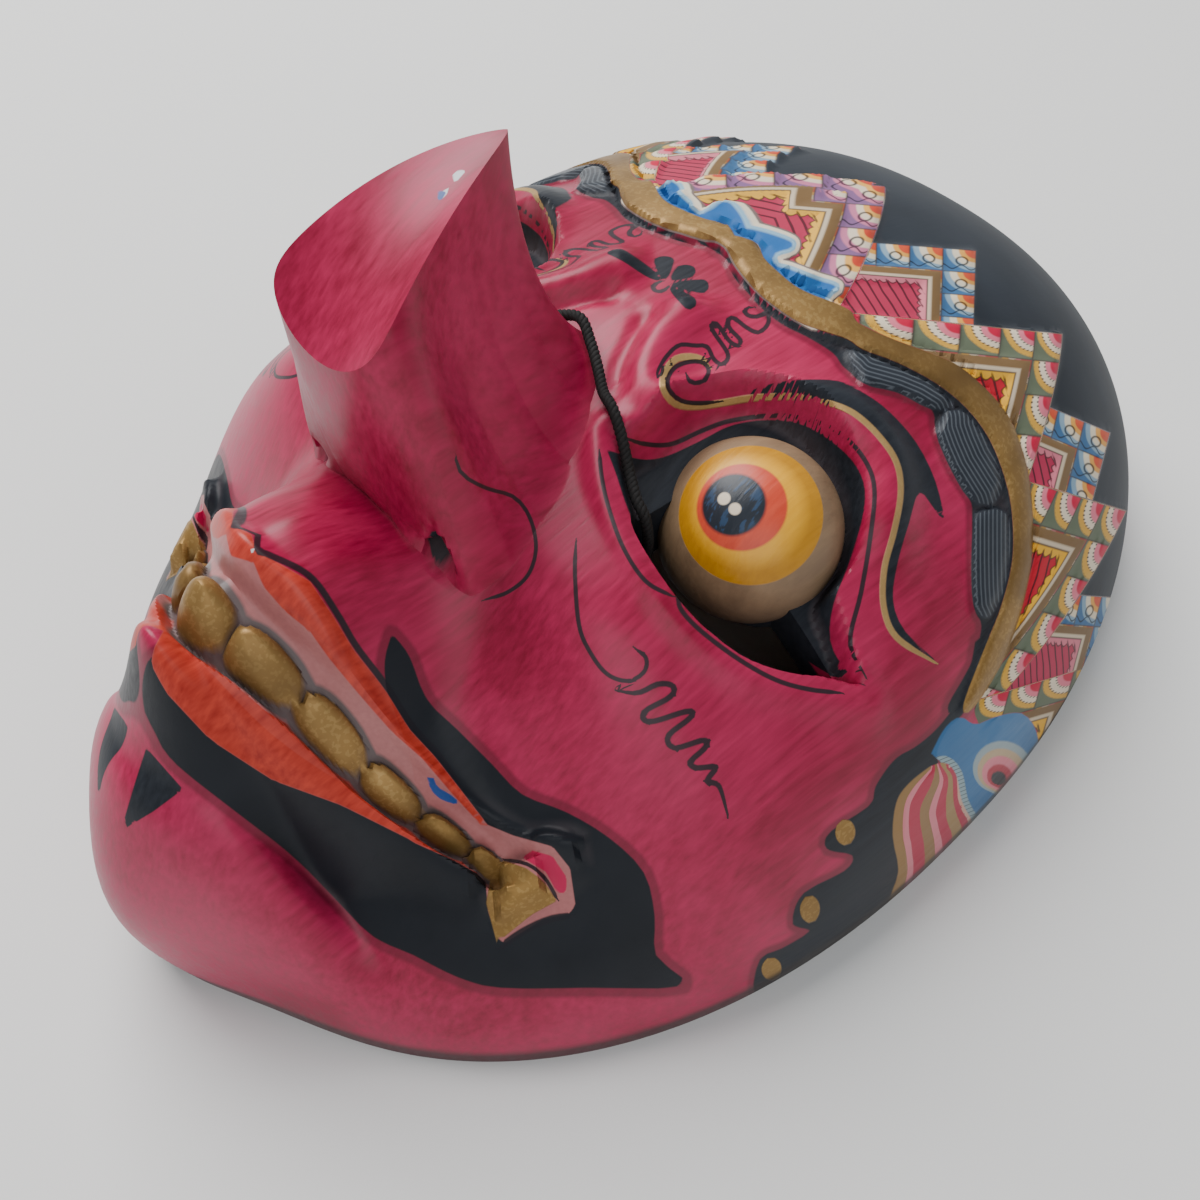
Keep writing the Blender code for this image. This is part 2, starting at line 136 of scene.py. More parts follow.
def smooth_path(points, steps=6):
    """A smooth curve through given points."""
    knots = np.array(points, float)
    ends = np.vstack([2 * knots[0] - knots[1], knots, 2 * knots[-1] - knots[-2]])
    curve = []
    for before, start, stop, after in zip(ends, ends[1:], ends[2:], ends[3:]):
        for share in np.arange(steps) / steps:
            pull = (stop - before) * share + (2 * before - 5 * start + 4 * stop - after) * share ** 2
            turn = (3 * start - before - 3 * stop + after) * share ** 3
            curve.append(start + 0.5 * (pull + turn))
    curve.append(knots[-1])
    return np.array(curve)


def off_path(x, y, points, steps=6):
    """Distance from a smooth curve, how far along it the nearest point is, and the side it lies on."""
    curve = smooth_path(points, steps)
    nearest = np.full(x.shape, 1e9)
    along = np.zeros(x.shape)
    across = np.zeros(x.shape)
    pieces = len(curve) - 1
    for index, (start, stop) in enumerate(zip(curve, curve[1:])):
        run = stop - start
        size = max(math.hypot(*run), 1e-9)
        share = np.clip(((x - start[0]) * run[0] + (y - start[1]) * run[1]) / size ** 2, 0, 1)
        gap = np.hypot(x - start[0] - share * run[0], y - start[1] - share * run[1])
        closer = gap < nearest
        nearest = np.where(closer, gap, nearest)
        along = np.where(closer, (index + share) / pieces, along)
        turned = (run[0] * (y - start[1]) - run[1] * (x - start[0])) / size
        across = np.where(closer, turned, across)
    return nearest, along, across


def ridge(x, y, points, width, taper=0.1):
    """A rounded ridge along a curve, which fades out over a share of its length at each end."""
    gap, along, _ = off_path(x, y, points)
    return bell(gap, width) * soft(along / taper) * soft((1 - along) / taper)


def within(x, y, corners):
    """How far inside a closed outline a point lies; outside it the distance is negative."""
    corners = [tuple(corner) for corner in corners]
    nearest = np.full(x.shape, 1e9)
    inside = np.zeros(x.shape, bool)
    for (x0, y0), (x1, y1) in zip(corners, corners[1:] + corners[:1]):
        run_x, run_y = x1 - x0, y1 - y0
        size = max(run_x ** 2 + run_y ** 2, 1e-12)
        share = np.clip(((x - x0) * run_x + (y - y0) * run_y) / size, 0, 1)
        nearest = np.minimum(nearest, np.hypot(x - x0 - share * run_x, y - y0 - share * run_y))
        if y0 != y1:
            crosses = (y0 > y) != (y1 > y)
            inside ^= crosses & (x < run_x * (y - y0) / run_y + x0)
    return np.where(inside, nearest, -nearest)


def rim_share(x, y, inset=0.0):
    """0 in the middle of the face and 1 on the outline of the rim."""
    wide = np.abs(x) / (HALF_WIDTH - inset / X_UNIT)
    crown = (wide ** CROWN_ROUNDNESS + np.abs(y / (CROWN_REACH - inset / Y_UNIT)) ** CROWN_ROUNDNESS)
    chin = (wide ** CHIN_ROUNDNESS + np.abs(y / (CHIN_REACH - inset / Y_UNIT)) ** CHIN_ROUNDNESS)
    return np.where(y > 0, crown ** (1 / CROWN_ROUNDNESS), chin ** (1 / CHIN_ROUNDNESS))


def rim_reach(angle, inset=0.0):
    """Distance from the nose to the rim's outline at an angle."""
    near = np.zeros(angle.shape)
    far = np.full(angle.shape, 2.0 * CROWN_REACH)
    for _ in range(40):
        middle = (near + far) / 2
        share = rim_share(middle * np.cos(angle), NOSE_Y + middle * np.sin(angle), inset)
        near = np.where(share < 1, middle, near)
        far = np.where(share < 1, far, middle)
    return near


def jaw_side(x, y):
    """1 on the lean sides of the jaw beside the mouth and 0 elsewhere."""
    return soft((-38 - y) / 22) * soft((np.abs(x) - 6) / 16)


def base_form(x, y):
    """The dome of the face with its muzzle, cheeks and chin."""
    side = np.abs(x)
    share = np.clip(rim_share(x, y), 0, 1)
    chin = bell(side, 22) * soft((-80 - y) / 10)
    jaw = jaw_side(x, y) * (1 - chin)
    height = PLAN_DEPTH * np.sqrt(1 - share ** (DOME_ROUNDNESS + 8.0 * chin - 1.05 * jaw))
    lip_end = -89 + 0.0165 * side ** 2
    muzzle = soft((-45 - y) / 24) * soft((y - lip_end) / (9 - 0.07 * side))
    roof = (4.5 + 6 * soft((-66 - y) / 10)) * bell(side, 9, 1.6)
    height = height + (15 * bell(side, 24, 4) + roof) * muzzle
    height = height + 4 * bell(side, 20) * bell(y + 46, 13)
    height = height + 3.5 * bell(side - 34, 13) * bell(y + 40, 13)
    height = height - 2.5 * bell(side, 18) * bell(y + 88.5, 2.2)
    return height


def teeth_line(side):
    """Middle of the row of teeth on the plan, and half its width."""
    return -77.6 + 0.4 * np.sqrt(side ** 2 + 16), 3.0 - 0.055 * side


def oval_tooth(side, y):
    """1 in the middle of each rounded tooth, 0 on its outline and negative between the teeth."""
    teeth_y, teeth_half = teeth_line(side)
    best = np.full(side.shape, -1.0)
    for start, stop in zip((-TOOTH_GAPS[0], *TOOTH_GAPS), TOOTH_GAPS + (37.0,)):
        along = np.abs(side - (start + stop) / 2) / ((stop - start) / 2 - 0.15)
        across = np.abs(y - teeth_y) / (1.12 * np.maximum(teeth_half, 0.6))
        best = np.maximum(best, 1 - (along ** 2.7 + across ** 2.7) ** (1 / 2.7))
    return best


def mouth_form(x, y):
    """Lips, gums, teeth and fangs, each tooth rounded by itself."""
    side = np.abs(x)
    teeth_y, teeth_half = teeth_line(side)
    tooth = 1.15 * np.sqrt(np.clip(1.6 * oval_tooth(side, y), 0, 1)) * soft((37 - side) / 2)
    opening = soft((teeth_half + 2.4 - np.abs(y - teeth_y - 0.6)) / 1.2) * soft((41 - side) / 4)
    upper = ridge(side, y, [(-3, -68), (3, -67.8), (7, -66.8), (11.5, -66.4), (15, -66.6), (20, -65.6),
                            (26, -63.8), (35, -61), (41, -57), (44, -55)], 1.8, 0.02)
    lower = ridge(side, y, [(-4, -83.3), (4, -82), (9, -79.2), (14, -77), (20, -74.2), (28, -70),
                            (36, -65.5)], 2.6, 0.02)
    fang = soft(within(side, y, [(35.5, -62), (41, -68), (44, -60), (40, -58.5)]) / 1.2)
    corner = ridge(side, y, [(38, -59), (42, -56), (46, -57)], 1.6, 0.2)
    return 3.2 * tooth - 3.4 * opening + 2.4 * upper + 2.8 * lower + 3.4 * fang + 2 * corner


def round_eye(turn, reach):
    """The point of the plan at a turn, in degrees, and a distance from the middle of the eyeball."""
    return EYE_X + reach * math.cos(math.radians(turn)), EYE_Y + reach * math.sin(math.radians(turn))


def lid_curve():
    """The edge of the lower lid, from the inner to the outer corner of the eye."""
    low = []
    for turn, spread in ((234, 1.0), (253, 1.0), (271, 1.13), (287, 1.3), (300, 1.4), (314, 1.5), (332, 1.6)):
        low.append(round_eye(turn, (EYE_RADIUS + EYE_SLOT * spread) / MM))
    return [INNER_CORNER] + low + [OUTER_CORNER]


def eye_outline():
    """The whole outline of the eye's opening, closed."""
    reach = EYE_RADIUS / MM + 2.6
    top = [round_eye(turn, reach) for turn in range(0, 200, 20)]
    return [tuple(point) for point in smooth_path(lid_curve(), 3)] + top + [(15.6, -17.4)]


def eye_form(x, y):
    """The sunken floor round each eyeball, the lids and the brow."""
    side = np.abs(x)
    gap = np.hypot(side - EYE_X, y - EYE_Y)
    floor = soft(within(side, y, eye_outline()) / 2.6)
    lid = off_path(side, y, lid_curve())[0]
    lid_roll = bell(lid - 2.2, 1.8) * soft((-y - 8) / 8) * (1 - floor)
    brow = ridge(side, y, [(3, 3), (7, -1), (8.5, -8), (13, -14), (20, -10), (24, -2), (31, 6),
                           (38, 7.5), (44, 2.5), (49, -6)], 4.4)
    fold = ridge(side, y, [(2, -2), (4.5, -7), (8, -14), (13, -18)], 1.6, 0.25)
    return -6 * floor * soft((30 - gap) / 6) + 1.2 * lid_roll + 3.2 * brow * (1 - floor) - 1.6 * fold


def plain_height(x, y):
    """Height of the face above the rim without the hair and headdress, in plan units."""
    return base_form(x, y) + mouth_form(x, y) + eye_form(x, y)


def nose_base(angle):
    """Distance from the middle of the nose to its foot on the face."""
    degrees = np.degrees(angle)
    marks = [-90, -72, -52, -36, -20, 0, 30, 60, 90]
    reach = [14.6, 15.4, 19.0, 21.0, 20.0, 17.0, 15.5, 18.0, 24.0]
    folded = np.where(np.abs(degrees) > 90, np.sign(degrees) * 180 - degrees, degrees)
    return np.interp(folded, marks, reach)


def nose_edge(angle):
    """The leaf-shaped edge of the nose's flat front, and the middle line that it closes on."""
    share = ((1 - np.sin(angle)) / 2) ** 0.8
    half = FACET_HALF_WIDTH * share ** 0.95 * np.sqrt(np.clip(1 - share ** 22, 0, 1))
    half = half + 1.0 * np.sqrt(np.clip(1 - (2 * share - 1) ** 2, 0, 1))
    y = NOSE_TIP_Y - FACET_LENGTH * share
    middle = PLAN_DEPTH + PLAN_NOSE - FACET_DROP * share ** 2
    edge = middle + FACET_HOLLOW * (half / FACET_HALF_WIDTH) ** 2
    x = half * np.sign(np.round(np.cos(angle), 9))
    return x, y, edge, middle


def line_angles(count):
    """Angles of the net's lines, spread so that they are even both at the nose and along the rim."""
    fine = np.linspace(-math.pi / 2, 3 * math.pi / 2, 2881)
    spread = np.cumsum(rim_reach(fine) + 40 + 60 * np.clip(np.sin(fine) + 0.25, 0, 1))
    spread = (spread - spread[0]) / (spread[-1] - spread[0])
    half = np.interp(np.linspace(0, 0.5, count // 2 + 1), spread, fine)
    return np.concatenate([half, math.pi - half[-2:0:-1]])


def to_metres(x, y, z):
    """Points of the plan at their real size, with the part above the face in nose units."""
    above = np.maximum(z - PLAN_DEPTH, 0)
    height = np.minimum(z, PLAN_DEPTH) * Z_UNIT + above * NOSE_UNIT
    return np.stack([x * X_UNIT, (y + PLAN_SHIFT) * Y_UNIT, height], axis=-1)


def drawing_place(points):
    """Where points show on the drawing; the far half of the mask takes the places of the near half."""
    folded = np.array(points, float)
    folded[..., 0] = np.abs(folded[..., 0])
    away = folded - VIEW_FROM
    depth = away @ VIEW_FORWARD
    across = DRAWING / 2 + VIEW_SCALE * (away @ VIEW_RIGHT) / depth
    down = DRAWING / 2 - VIEW_SCALE * (away @ VIEW_UP) / depth
    return across, down


def traced(sheet, *corners):
    """Points of an outline that is given on one enlarged part of the drawing."""
    left, top, scale = SHEETS[sheet]
    return [(left + x / scale, top + y / scale) for x, y in corners]


# Both edges of the gold headband, from the middle of the forehead to the temple
BAND_LOW = traced("crown", (60, 300), (120, 350), (230, 375), (330, 400), (355, 440), (380, 480), (450, 560),
                  (560, 640), (640, 672), (730, 702)) + \
    traced("temple", (110, 128), (200, 162), (300, 215), (380, 280), (440, 360), (480, 460), (500, 560),
           (500, 680), (470, 800), (430, 900), (370, 1060))
BAND_HIGH = traced("crown", (60, 195), (140, 210), (190, 255), (240, 320), (300, 352), (430, 388), (460, 440),
                   (500, 480), (560, 530), (620, 560), (680, 582), (740, 612)) + \
    traced("temple", (100, 60), (180, 98), (260, 128), (330, 155), (380, 185), (450, 250), (500, 320),
           (540, 440), (553, 560), (550, 680), (520, 820), (470, 950), (400, 1060))
HAIRLINE = traced("crown", (60, 315), (90, 355), (150, 390), (230, 405), (320, 430), (350, 465), (365, 505),
                  (410, 555), (450, 600), (520, 655), (600, 695), (680, 745), (710, 785)) + \
    traced("temple", (80, 190), (110, 215), (200, 240), (290, 285), (300, 340), (340, 440), (390, 520),
           (395, 560), (395, 680), (400, 800), (420, 850), (390, 950), (330, 1060))
SIDE_HAIR = traced("side", (560, 0), (540, 100), (500, 180), (450, 240), (400, 280), (350, 310), (300, 380),
                   (285, 430), (180, 500), (175, 545), (240, 560), (220, 600), (110, 660), (85, 740),
                   (130, 755),
                   (60, 800), (0, 830), (-14, 920), (60, 910), (140, 880), (330, 790), (380, 700), (380, 420),
                   (460, 340), (460, 290), (490, 230), (530, 190), (575, 110), (610, 0))
SIDE_OVALS = [("side", (222, 500), 26, 34), ("side", (130, 700), 26, 36), ("side", (30, 855), 26, 30)]
LOCKS = [traced("temple", (62, 128), (110, 135), (190, 170), (290, 215), (352, 275), (290, 285), (200, 240),
                (110, 215)),
         traced("temple", (325, 285), (380, 290), (440, 370), (478, 480), (450, 532), (390, 520), (340, 440),
                (300, 340)),
         traced("temple", (400, 555), (450, 540), (492, 560), (498, 650), (480, 760), (440, 830), (400, 800),
                (393, 680))]
BROW = traced("crown", (330, 897), (420, 865), (500, 840), (600, 830), (700, 835), (780, 865)) + \
    traced("temple", (60, 215), (120, 245), (180, 290), (250, 370), (300, 470), (323, 572), (298, 545),
           (258, 500), (232, 580), (203, 680), (190, 780), (222, 862), (310, 948), (200, 882), (165, 800),
           (165, 700), (195, 600), (212, 500), (200, 420), (150, 350), (80, 290), (0, 262)) + \
    traced("crown", (640, 888), (540, 884), (420, 890), (340, 902))
SOCKET = traced("eye", (45, 215), (130, 240), (200, 235), (300, 190), (380, 150), (480, 135), (580, 150),
                (680, 215), (735, 290), (740, 380), (700, 520), (655, 640), (650, 740), (700, 820),
                (757, 857),
                (680, 832), (560, 812), (440, 772), (340, 700), (250, 620), (180, 525), (110, 395), (70, 280))
FLOWER_PETALS = [((165, 508), (222, 484), 17), ((172, 526), (262, 532), 19), ((164, 540), (222, 584), 19)]
CHIN_MARK = traced("mouth", (138, 588), (197, 655), (150, 690), (97, 722), (118, 650))
LIP_EDGE = traced("mouth", (236, 236), (250, 220), (300, 226), (313, 270), (332, 283), (400, 322), (440, 382),
                  (470, 432), (520, 495), (560, 560), (600, 603)) + \
    traced("cheek", (207, 458), (270, 540))
TEETH_LOW = traced("mouth", (188, 375), (235, 445), (260, 470), (330, 530), (380, 560), (460, 635), (520, 660),
                   (570, 700)) + traced("cheek", (200, 590), (270, 612))
LIP_LOW = traced("mouth", (185, 365), (150, 430), (146, 455), (170, 500), (240, 575), (340, 640), (450, 680),
                 (560, 735)) + traced("cheek", (100, 580), (190, 620), (265, 662))
GUM_HIGH = traced("mouth", (236, 240), (246, 266), (275, 282), (310, 292), (325, 330), (360, 370), (400, 402),
                  (430, 445), (480, 505), (530, 562), (580, 606)) + traced("cheek", (190, 470), (262, 548))
MOUTH = LIP_EDGE + traced("cheek", (330, 565), (420, 590), (460, 640), (472, 722), (462, 744), (400, 756),
                          (300, 818), (272, 740)) + LIP_LOW[::-1]
LIPS = [LIP_EDGE + GUM_HIGH[::-1], TEETH_LOW + LIP_LOW[::-1]]
FANG = traced("cheek", (302, 620), (360, 640), (400, 670), (430, 715), (370, 748), (292, 812), (267, 720),
              (280, 645))
FANG_PATCH = traced("cheek", (370, 598), (420, 612), (452, 660), (452, 695), (432, 700), (404, 648), (350, 616))
MOUSTACHE = traced("cheek", (50, 100), (90, 150), (130, 250), (200, 320), (280, 400), (350, 470), (450, 510),
                   (550, 570), (630, 650), (655, 750), (658, 840), (722, 910), (500, 915), (300, 915),
                   (200, 890), (100, 840)) + \
    traced("mouth", (500, 890), (440, 830), (370, 760), (280, 690), (180, 610), (150, 560), (135, 530),
           (132, 480), (150, 440), (210, 440), (330, 560), (460, 650), (560, 690)) + \
    traced("cheek", (100, 420), (64, 300), (38, 230), (34, 160))
CLOUD = traced("crown", (150, 235), (190, 236), (240, 235), (300, 300), (335, 318), (400, 322), (480, 340),
               (560, 370), (576, 400), (560, 430), (512, 445), (550, 455), (640, 490), (690, 505), (715, 525),
               (705, 560), (680, 575)) + \
    traced("crown", (640, 672), (560, 640), (450, 560), (380, 480), (355, 440), (330, 400), (230, 375),
           (120, 350))
EAR = traced("side", (440, 330), (480, 318), (510, 350), (525, 420), (555, 480), (560, 540), (545, 640),
             (440, 760), (320, 790), (335, 680), (360, 600), (345, 510), (355, 420), (390, 370))
EAR_LEFT = traced("side", (440, 330), (390, 370), (355, 420), (345, 510), (360, 600), (335, 680), (330, 780))
EAR_RIGHT = traced("side", (480, 318), (510, 350), (525, 420), (555, 480), (560, 540), (545, 620), (530, 700))
SHEATH = traced("side", (445, 295), (480, 230), (520, 200), (560, 220), (610, 200), (680, 190), (720, 240),
                (718, 320), (660, 410), (620, 470), (620, 540), (560, 620), (540, 600), (520, 420),
                (480, 330))
FEATHER_PUPIL = ("side", (616, 368))

# Outline of the near nostril on the drawing; the nostrils are painted near-black as painted shade
NOSTRIL = [(427, 533), (434, 533), (444, 545), (452, 560), (454, 572), (446, 575), (434, 563), (427, 547)]
WHITE_CHIPS = [[(453, 173), (463, 168), (465, 172), (457, 181), (451, 182)],
               [(444, 190), (449, 186), (447, 194), (441, 200), (438, 197)],
               [(250, 548), (254, 547), (255, 552), (251, 553)], [(508, 131), (513, 131), (513, 136),
               (509, 136)]]
BLUE_CHIPS = [[(437, 192), (443, 187), (446, 193), (441, 201), (436, 199)],
              [(427, 777), (433, 776), (437, 787), (450, 794), (461, 803), (452, 804), (438, 798),
              (430, 789)]]

# Thin painted lines: enlarged part, half width in drawing units, and points
BLACK_LINES = [
    ("crown", 2.2, [(425, 600), (405, 600), (402, 618), (418, 628), (445, 628), (470, 615), (476, 645),
    (462, 668),
                    (438, 680), (402, 662), (365, 634), (345, 640), (352, 668), (386, 705), (375, 722),
                    (348, 705),
                    (318, 662), (300, 648), (296, 672), (340, 738), (345, 766), (325, 782), (300, 765),
                    (278, 725),
                    (240, 722), (190, 720), (150, 755), (122, 800), (120, 826)]),
    ("crown", 2.3, [(213, 815), (222, 835), (245, 842), (272, 830), (284, 800), (262, 775), (215, 775),
    (172, 795),
                    (152, 835), (162, 872), (200, 900), (260, 906), (330, 898)]),
    ("crown", 1.8, [(160, 530), (135, 548), (110, 545), (95, 532)]),
    ("crown", 1.6, [(10, 440), (38, 425), (60, 400), (90, 392), (110, 398)]),
    ("eye", 2.4, [(92, 182), (150, 200), (220, 200), (300, 165), (380, 137), (500, 123), (600, 136),
    (680, 175),
                  (740, 240), (768, 320), (757, 450), (732, 600), (702, 738), (745, 830)]),
    ("eye", 2.2, [(25, 220), (32, 290), (50, 370), (90, 480), (150, 570), (225, 612)]),
    ("eye", 2.4, [(236, 612), (248, 650), (300, 705), (400, 780), (500, 836), (590, 862), (680, 872)]),
    ("whole", 2.2, [(576, 541), (575, 575), (579, 625), (590, 652), (607, 674), (628, 681), (644, 672),
    (646, 658),
                    (634, 648)]),
    ("whole", 2.9, [(617, 691), (638, 693), (658, 684), (673, 686), (670, 697), (644, 712), (650, 722),
    (688, 711),
                    (690, 718), (668, 736), (675, 748), (704, 740), (705, 748), (690, 762), (697, 768),
                    (716, 767),
                    (707, 781), (719, 786), (728, 816)]),
    ("whole", 2.0, [(454, 453), (462, 474), (486, 488), (514, 497), (530, 518), (536, 548), (528, 575),
    (508, 592),
                    (484, 600)]),
    ("mouth", 3.4, [(242, 232), (250, 217), (298, 220), (316, 240), (316, 272), (335, 280), (400, 314),
    (444, 375),
                    (474, 426), (524, 492), (562, 552), (602, 596), (640, 645)]),
    ("cheek", 1.9, [(305, 620), (360, 630), (400, 660), (432, 712)]),
    ("cheek", 3.6, [(298, 822), (350, 786), (410, 758), (465, 748)]),
]
GOLD_LINES = [
    ("crown", 3.6, [(285, 790), (262, 768), (222, 758), (175, 768), (142, 815), (142, 865), (176, 908),
    (240, 917),
                    (330, 905), (420, 890), (540, 885), (620, 888)]),
    ("temple", 3.0, [(-20, 262), (30, 270), (90, 296), (150, 350), (198, 420), (210, 500), (193, 600),
    (167, 700),
                     (166, 800), (200, 878), (300, 943)]),
]

# Stepped panels: point at the top, one tile along the far edge and along the near edge, growth of the tiles
# along each, bend of the near edge, tiles counted along the far edge, and kind of painting: 0 blue, 1 green
# and 2 lilac
PANELS = [
    ((976.2, 250.7), (-33, -2.6), (-0.7, 22.5), 0.0, 0.0, 0.0, 9, 0),
    ((1110.4, 432.7), (-26, -11), (-7, 27), 0.0, 0.0, 0.0, 9, 0),
    ((1121.9, 598.0), (-20, -1.5), (-8, 30), 0.0, 0.0, 0.0, 9, 0),
    ((885.6, 186.3), (-36, -3), (0, 18.5), 0.05, 0.10, 0.060, 9, 2),
    ((1062.4, 334.0), (-23.9, -2.4), (-1.0, 26), 0.138, 0.113, 0.078, 5.3, 1),
    ((1126.5, 510.8), (-21.1, -6.3), (-15.5, 35), 0.03, 0.02, 0.07, 4.5, 1),
    ((1106.5, 661.5), (-32, 9.5), (-8, 27), 0.0, 0.05, 0.0, 4.4, 1),
]


def panel_rows(far_step, near_step):
    """The two rows that turn a place on the drawing into tiles along each edge of a panel."""
    cross = far_step[0] * near_step[1] - far_step[1] * near_step[0]
    return (near_step[1] / cross, -near_step[0] / cross), (-far_step[1] / cross, far_step[0] / cross)


def panel_tiles(across, down, panel):
    """Tiles along the far and near edges of one panel."""
    apex, far_step, near_step, far_growth, near_growth, bend = panel[:6]
    far_row, near_row = panel_rows(far_step, near_step)
    far = (across - apex[0]) * far_row[0] + (down - apex[1]) * far_row[1]
    near = (across - apex[0]) * near_row[0] + (down - apex[1]) * near_row[1]
    if near_growth:
        near = (np.sqrt(np.maximum(1 + 4 * near_growth * near, 0)) - 1) / (2 * near_growth)
    far = far - bend * near * np.abs(near)
    if far_growth:
        far = (np.sqrt(np.maximum(1 + 4 * far_growth * far, 0)) - 1) / (2 * far_growth)
    return far, near


def headdress_relief(across, down):
    """Height of the headband, locks, stepped panels, tiles and cloud above the dome, in plan units."""
    height = np.zeros(across.shape)
    for panel in PANELS:
        far, near = panel_tiles(across, down, panel)
        least = np.minimum(far, near)
        inside = soft((least + 0.12) / 0.34) * soft((panel[6] - far + 0.1) / 0.34)
        step = 0.9 if panel[7] == 0 else 1.5
        tile = soft((1.12 - least) / 0.25)
        slope = 0.75 * np.clip(np.hypot(np.mod(far, 1), np.mod(near, 1)) - 0.25, 0, 1) * tile
        border = 0.35 * soft((least - 1.05) / 0.25) * soft((1.65 - least) / 0.25)
        sunk = 0.4 * soft((least - 1.45) / 0.3)
        height = np.where(inside > 0, height * (1 - inside) + inside * (step - slope + border - sunk), height)
    head = within(across, down, BAND_HIGH + traced("whole", (1005, 760), (1300, 760), (1300, 0), (600, 0)))
    height = height * soft(head / 8.0)
    cloud = within(across, down, CLOUD)
    height = height + 0.8 * soft((cloud + 3) / 7) - 0.3 * soft((cloud - 5) / 6)
    band = within(across, down, BAND_LOW + BAND_HIGH[::-1])
    height = np.maximum(height * soft(-band / 7), 0) + 1.6 * soft((band + 4) / 9)
    for outline in LOCKS:
        lock = within(across, down, outline)
        height = height + 1.5 * soft((lock + 4) / 12)
    return height


def face_height(x, y):
    """Height of the whole carved face above the rim, in plan units."""
    form = plain_height(x, y)
    edge = soft((1 - rim_share(x, y)) / 0.03)
    raised = 1.5 * np.ones(x.shape)
    for _ in range(2):
        across, down = drawing_place(to_metres(x, y, np.maximum(form + raised * edge, 0)))
        raised = headdress_relief(across, down)
    form = form + raised * edge * soft((y + 50) / 8) * soft((y - 4 + 0.35 * np.abs(x)) / 4)
    return np.where(rim_share(x, y) > 0.9999, 0, np.maximum(form, 0))


def nose_rings(angle, facet_count, wall_count):
    """Rings from the middle line of the nose's flat front out to its edge and down to its foot."""
    edge_x, edge_y, edge_z, middle_z = nose_edge(angle)
    reach = nose_base(angle)
    foot_x = reach * np.cos(angle)
    foot_y = NOSE_Y + reach * np.sin(angle)
    foot_z = plain_height(foot_x, foot_y)
    folded = np.where(np.cos(angle) < 0, math.pi - angle, angle)
    wing = bell(np.degrees(np.where(folded > math.pi, folded - 2 * math.pi, folded)) + 38, 24)
    rings = []
    for share in np.linspace(0, 1, facet_count + 1)[:-1]:
        z = middle_z + (edge_z - middle_z) * share ** 2
        rings.append((edge_x * share, edge_y, z))
    for share in np.linspace(1, 0, wall_count + 1):
        inward = (1 - wing) * (1 - (1 - share) ** 2.0) + wing * share ** 1.35
        rise = (1 - wing) * share ** 1.25 + wing * (1 - (1 - share) ** 1.3)
        x = foot_x + (edge_x - foot_x) * inward
        y = foot_y + (edge_y - foot_y) * inward
        z = foot_z + (edge_z - foot_z) * rise
        nostril = bell(np.abs(x) - 12.3, 3.0) * bell(y + 51.5, 2.5) * bell(z - foot_z - 2.2, 2.2)
        rings.append((x, y + 3.2 * nostril, z))
    return rings


def face_rings(angle, count):
    """Rings from the foot of the nose out over the face to the rim."""
    near = nose_base(angle)
    far = rim_reach(angle)
    rings = []
    for share in np.linspace(0, 1, count + 1)[1:]:
        reach = near + (far - near) * (1 - (1 - share) ** 1.45)
        x = reach * np.cos(angle)
        y = NOSE_Y + reach * np.sin(angle)
        z = face_height(x, y) if share < 1 else np.zeros(angle.shape)
        chin = bell(z - 19, 30) * bell(x, 15) * soft((-82 - y) / 9)
        rings.append((x, y - 9.0 * chin, z))
    return rings


def hollow_height(x, y):
    """Height of the hollow above the rim, in plan units, with room behind the nose."""
    inside = np.clip(rim_share(x, y, RIM_WIDTH), 0, 1)
    depth = PLAN_DEPTH - FOREHEAD_WALL / Z_UNIT
    height = depth * np.sqrt(1 - inside ** (2.4 - 0.85 * jaw_side(x, y)))
    return height + NOSE_HOLLOW / Z_UNIT * bell(x, 12) * bell(y + 42, 15) * soft(height / 20)


def gouge_marks(x, y, height):
    """Shallow facets that the carver's gouge leaves in the hollow, in plan units."""
    row = y / 7.0 + 0.25 * np.sin(x / 9.0)
    column = x / 5.0 + 0.5 * np.mod(np.floor(row), 2) + 0.2 * np.sin(y / 11.0)
    cup = (np.mod(row, 1) - 0.5) ** 2 + (np.mod(column, 1) - 0.5) ** 2
    return 0.45 * (0.5 - cup) * soft(height / 6)


def hollow_rings(angle, count):
    """Rings from the outer edge of the flat rim, over the rim and up to the top of the hollow."""
    edge = rim_reach(angle) - 0.12
    far = rim_reach(angle, RIM_WIDTH)
    rings = [(edge * np.cos(angle), NOSE_Y + edge * np.sin(angle), np.zeros(angle.shape))]
    for share in np.linspace(0, 1, count + 1)[:-1]:
        reach = far * (1 - share ** 1.6)
        x = reach * np.cos(angle)
        y = NOSE_Y + reach * np.sin(angle)
        z = hollow_height(x, y) if share > 0 else np.zeros(angle.shape)
        rings.append((x, y, z + gouge_marks(x, y, z)))
    return rings


def new_object(name, mesh):
    """A mesh object in the scene."""
    item = bpy.data.objects.new(name, mesh)
    bpy.context.scene.collection.objects.link(item)
    return item


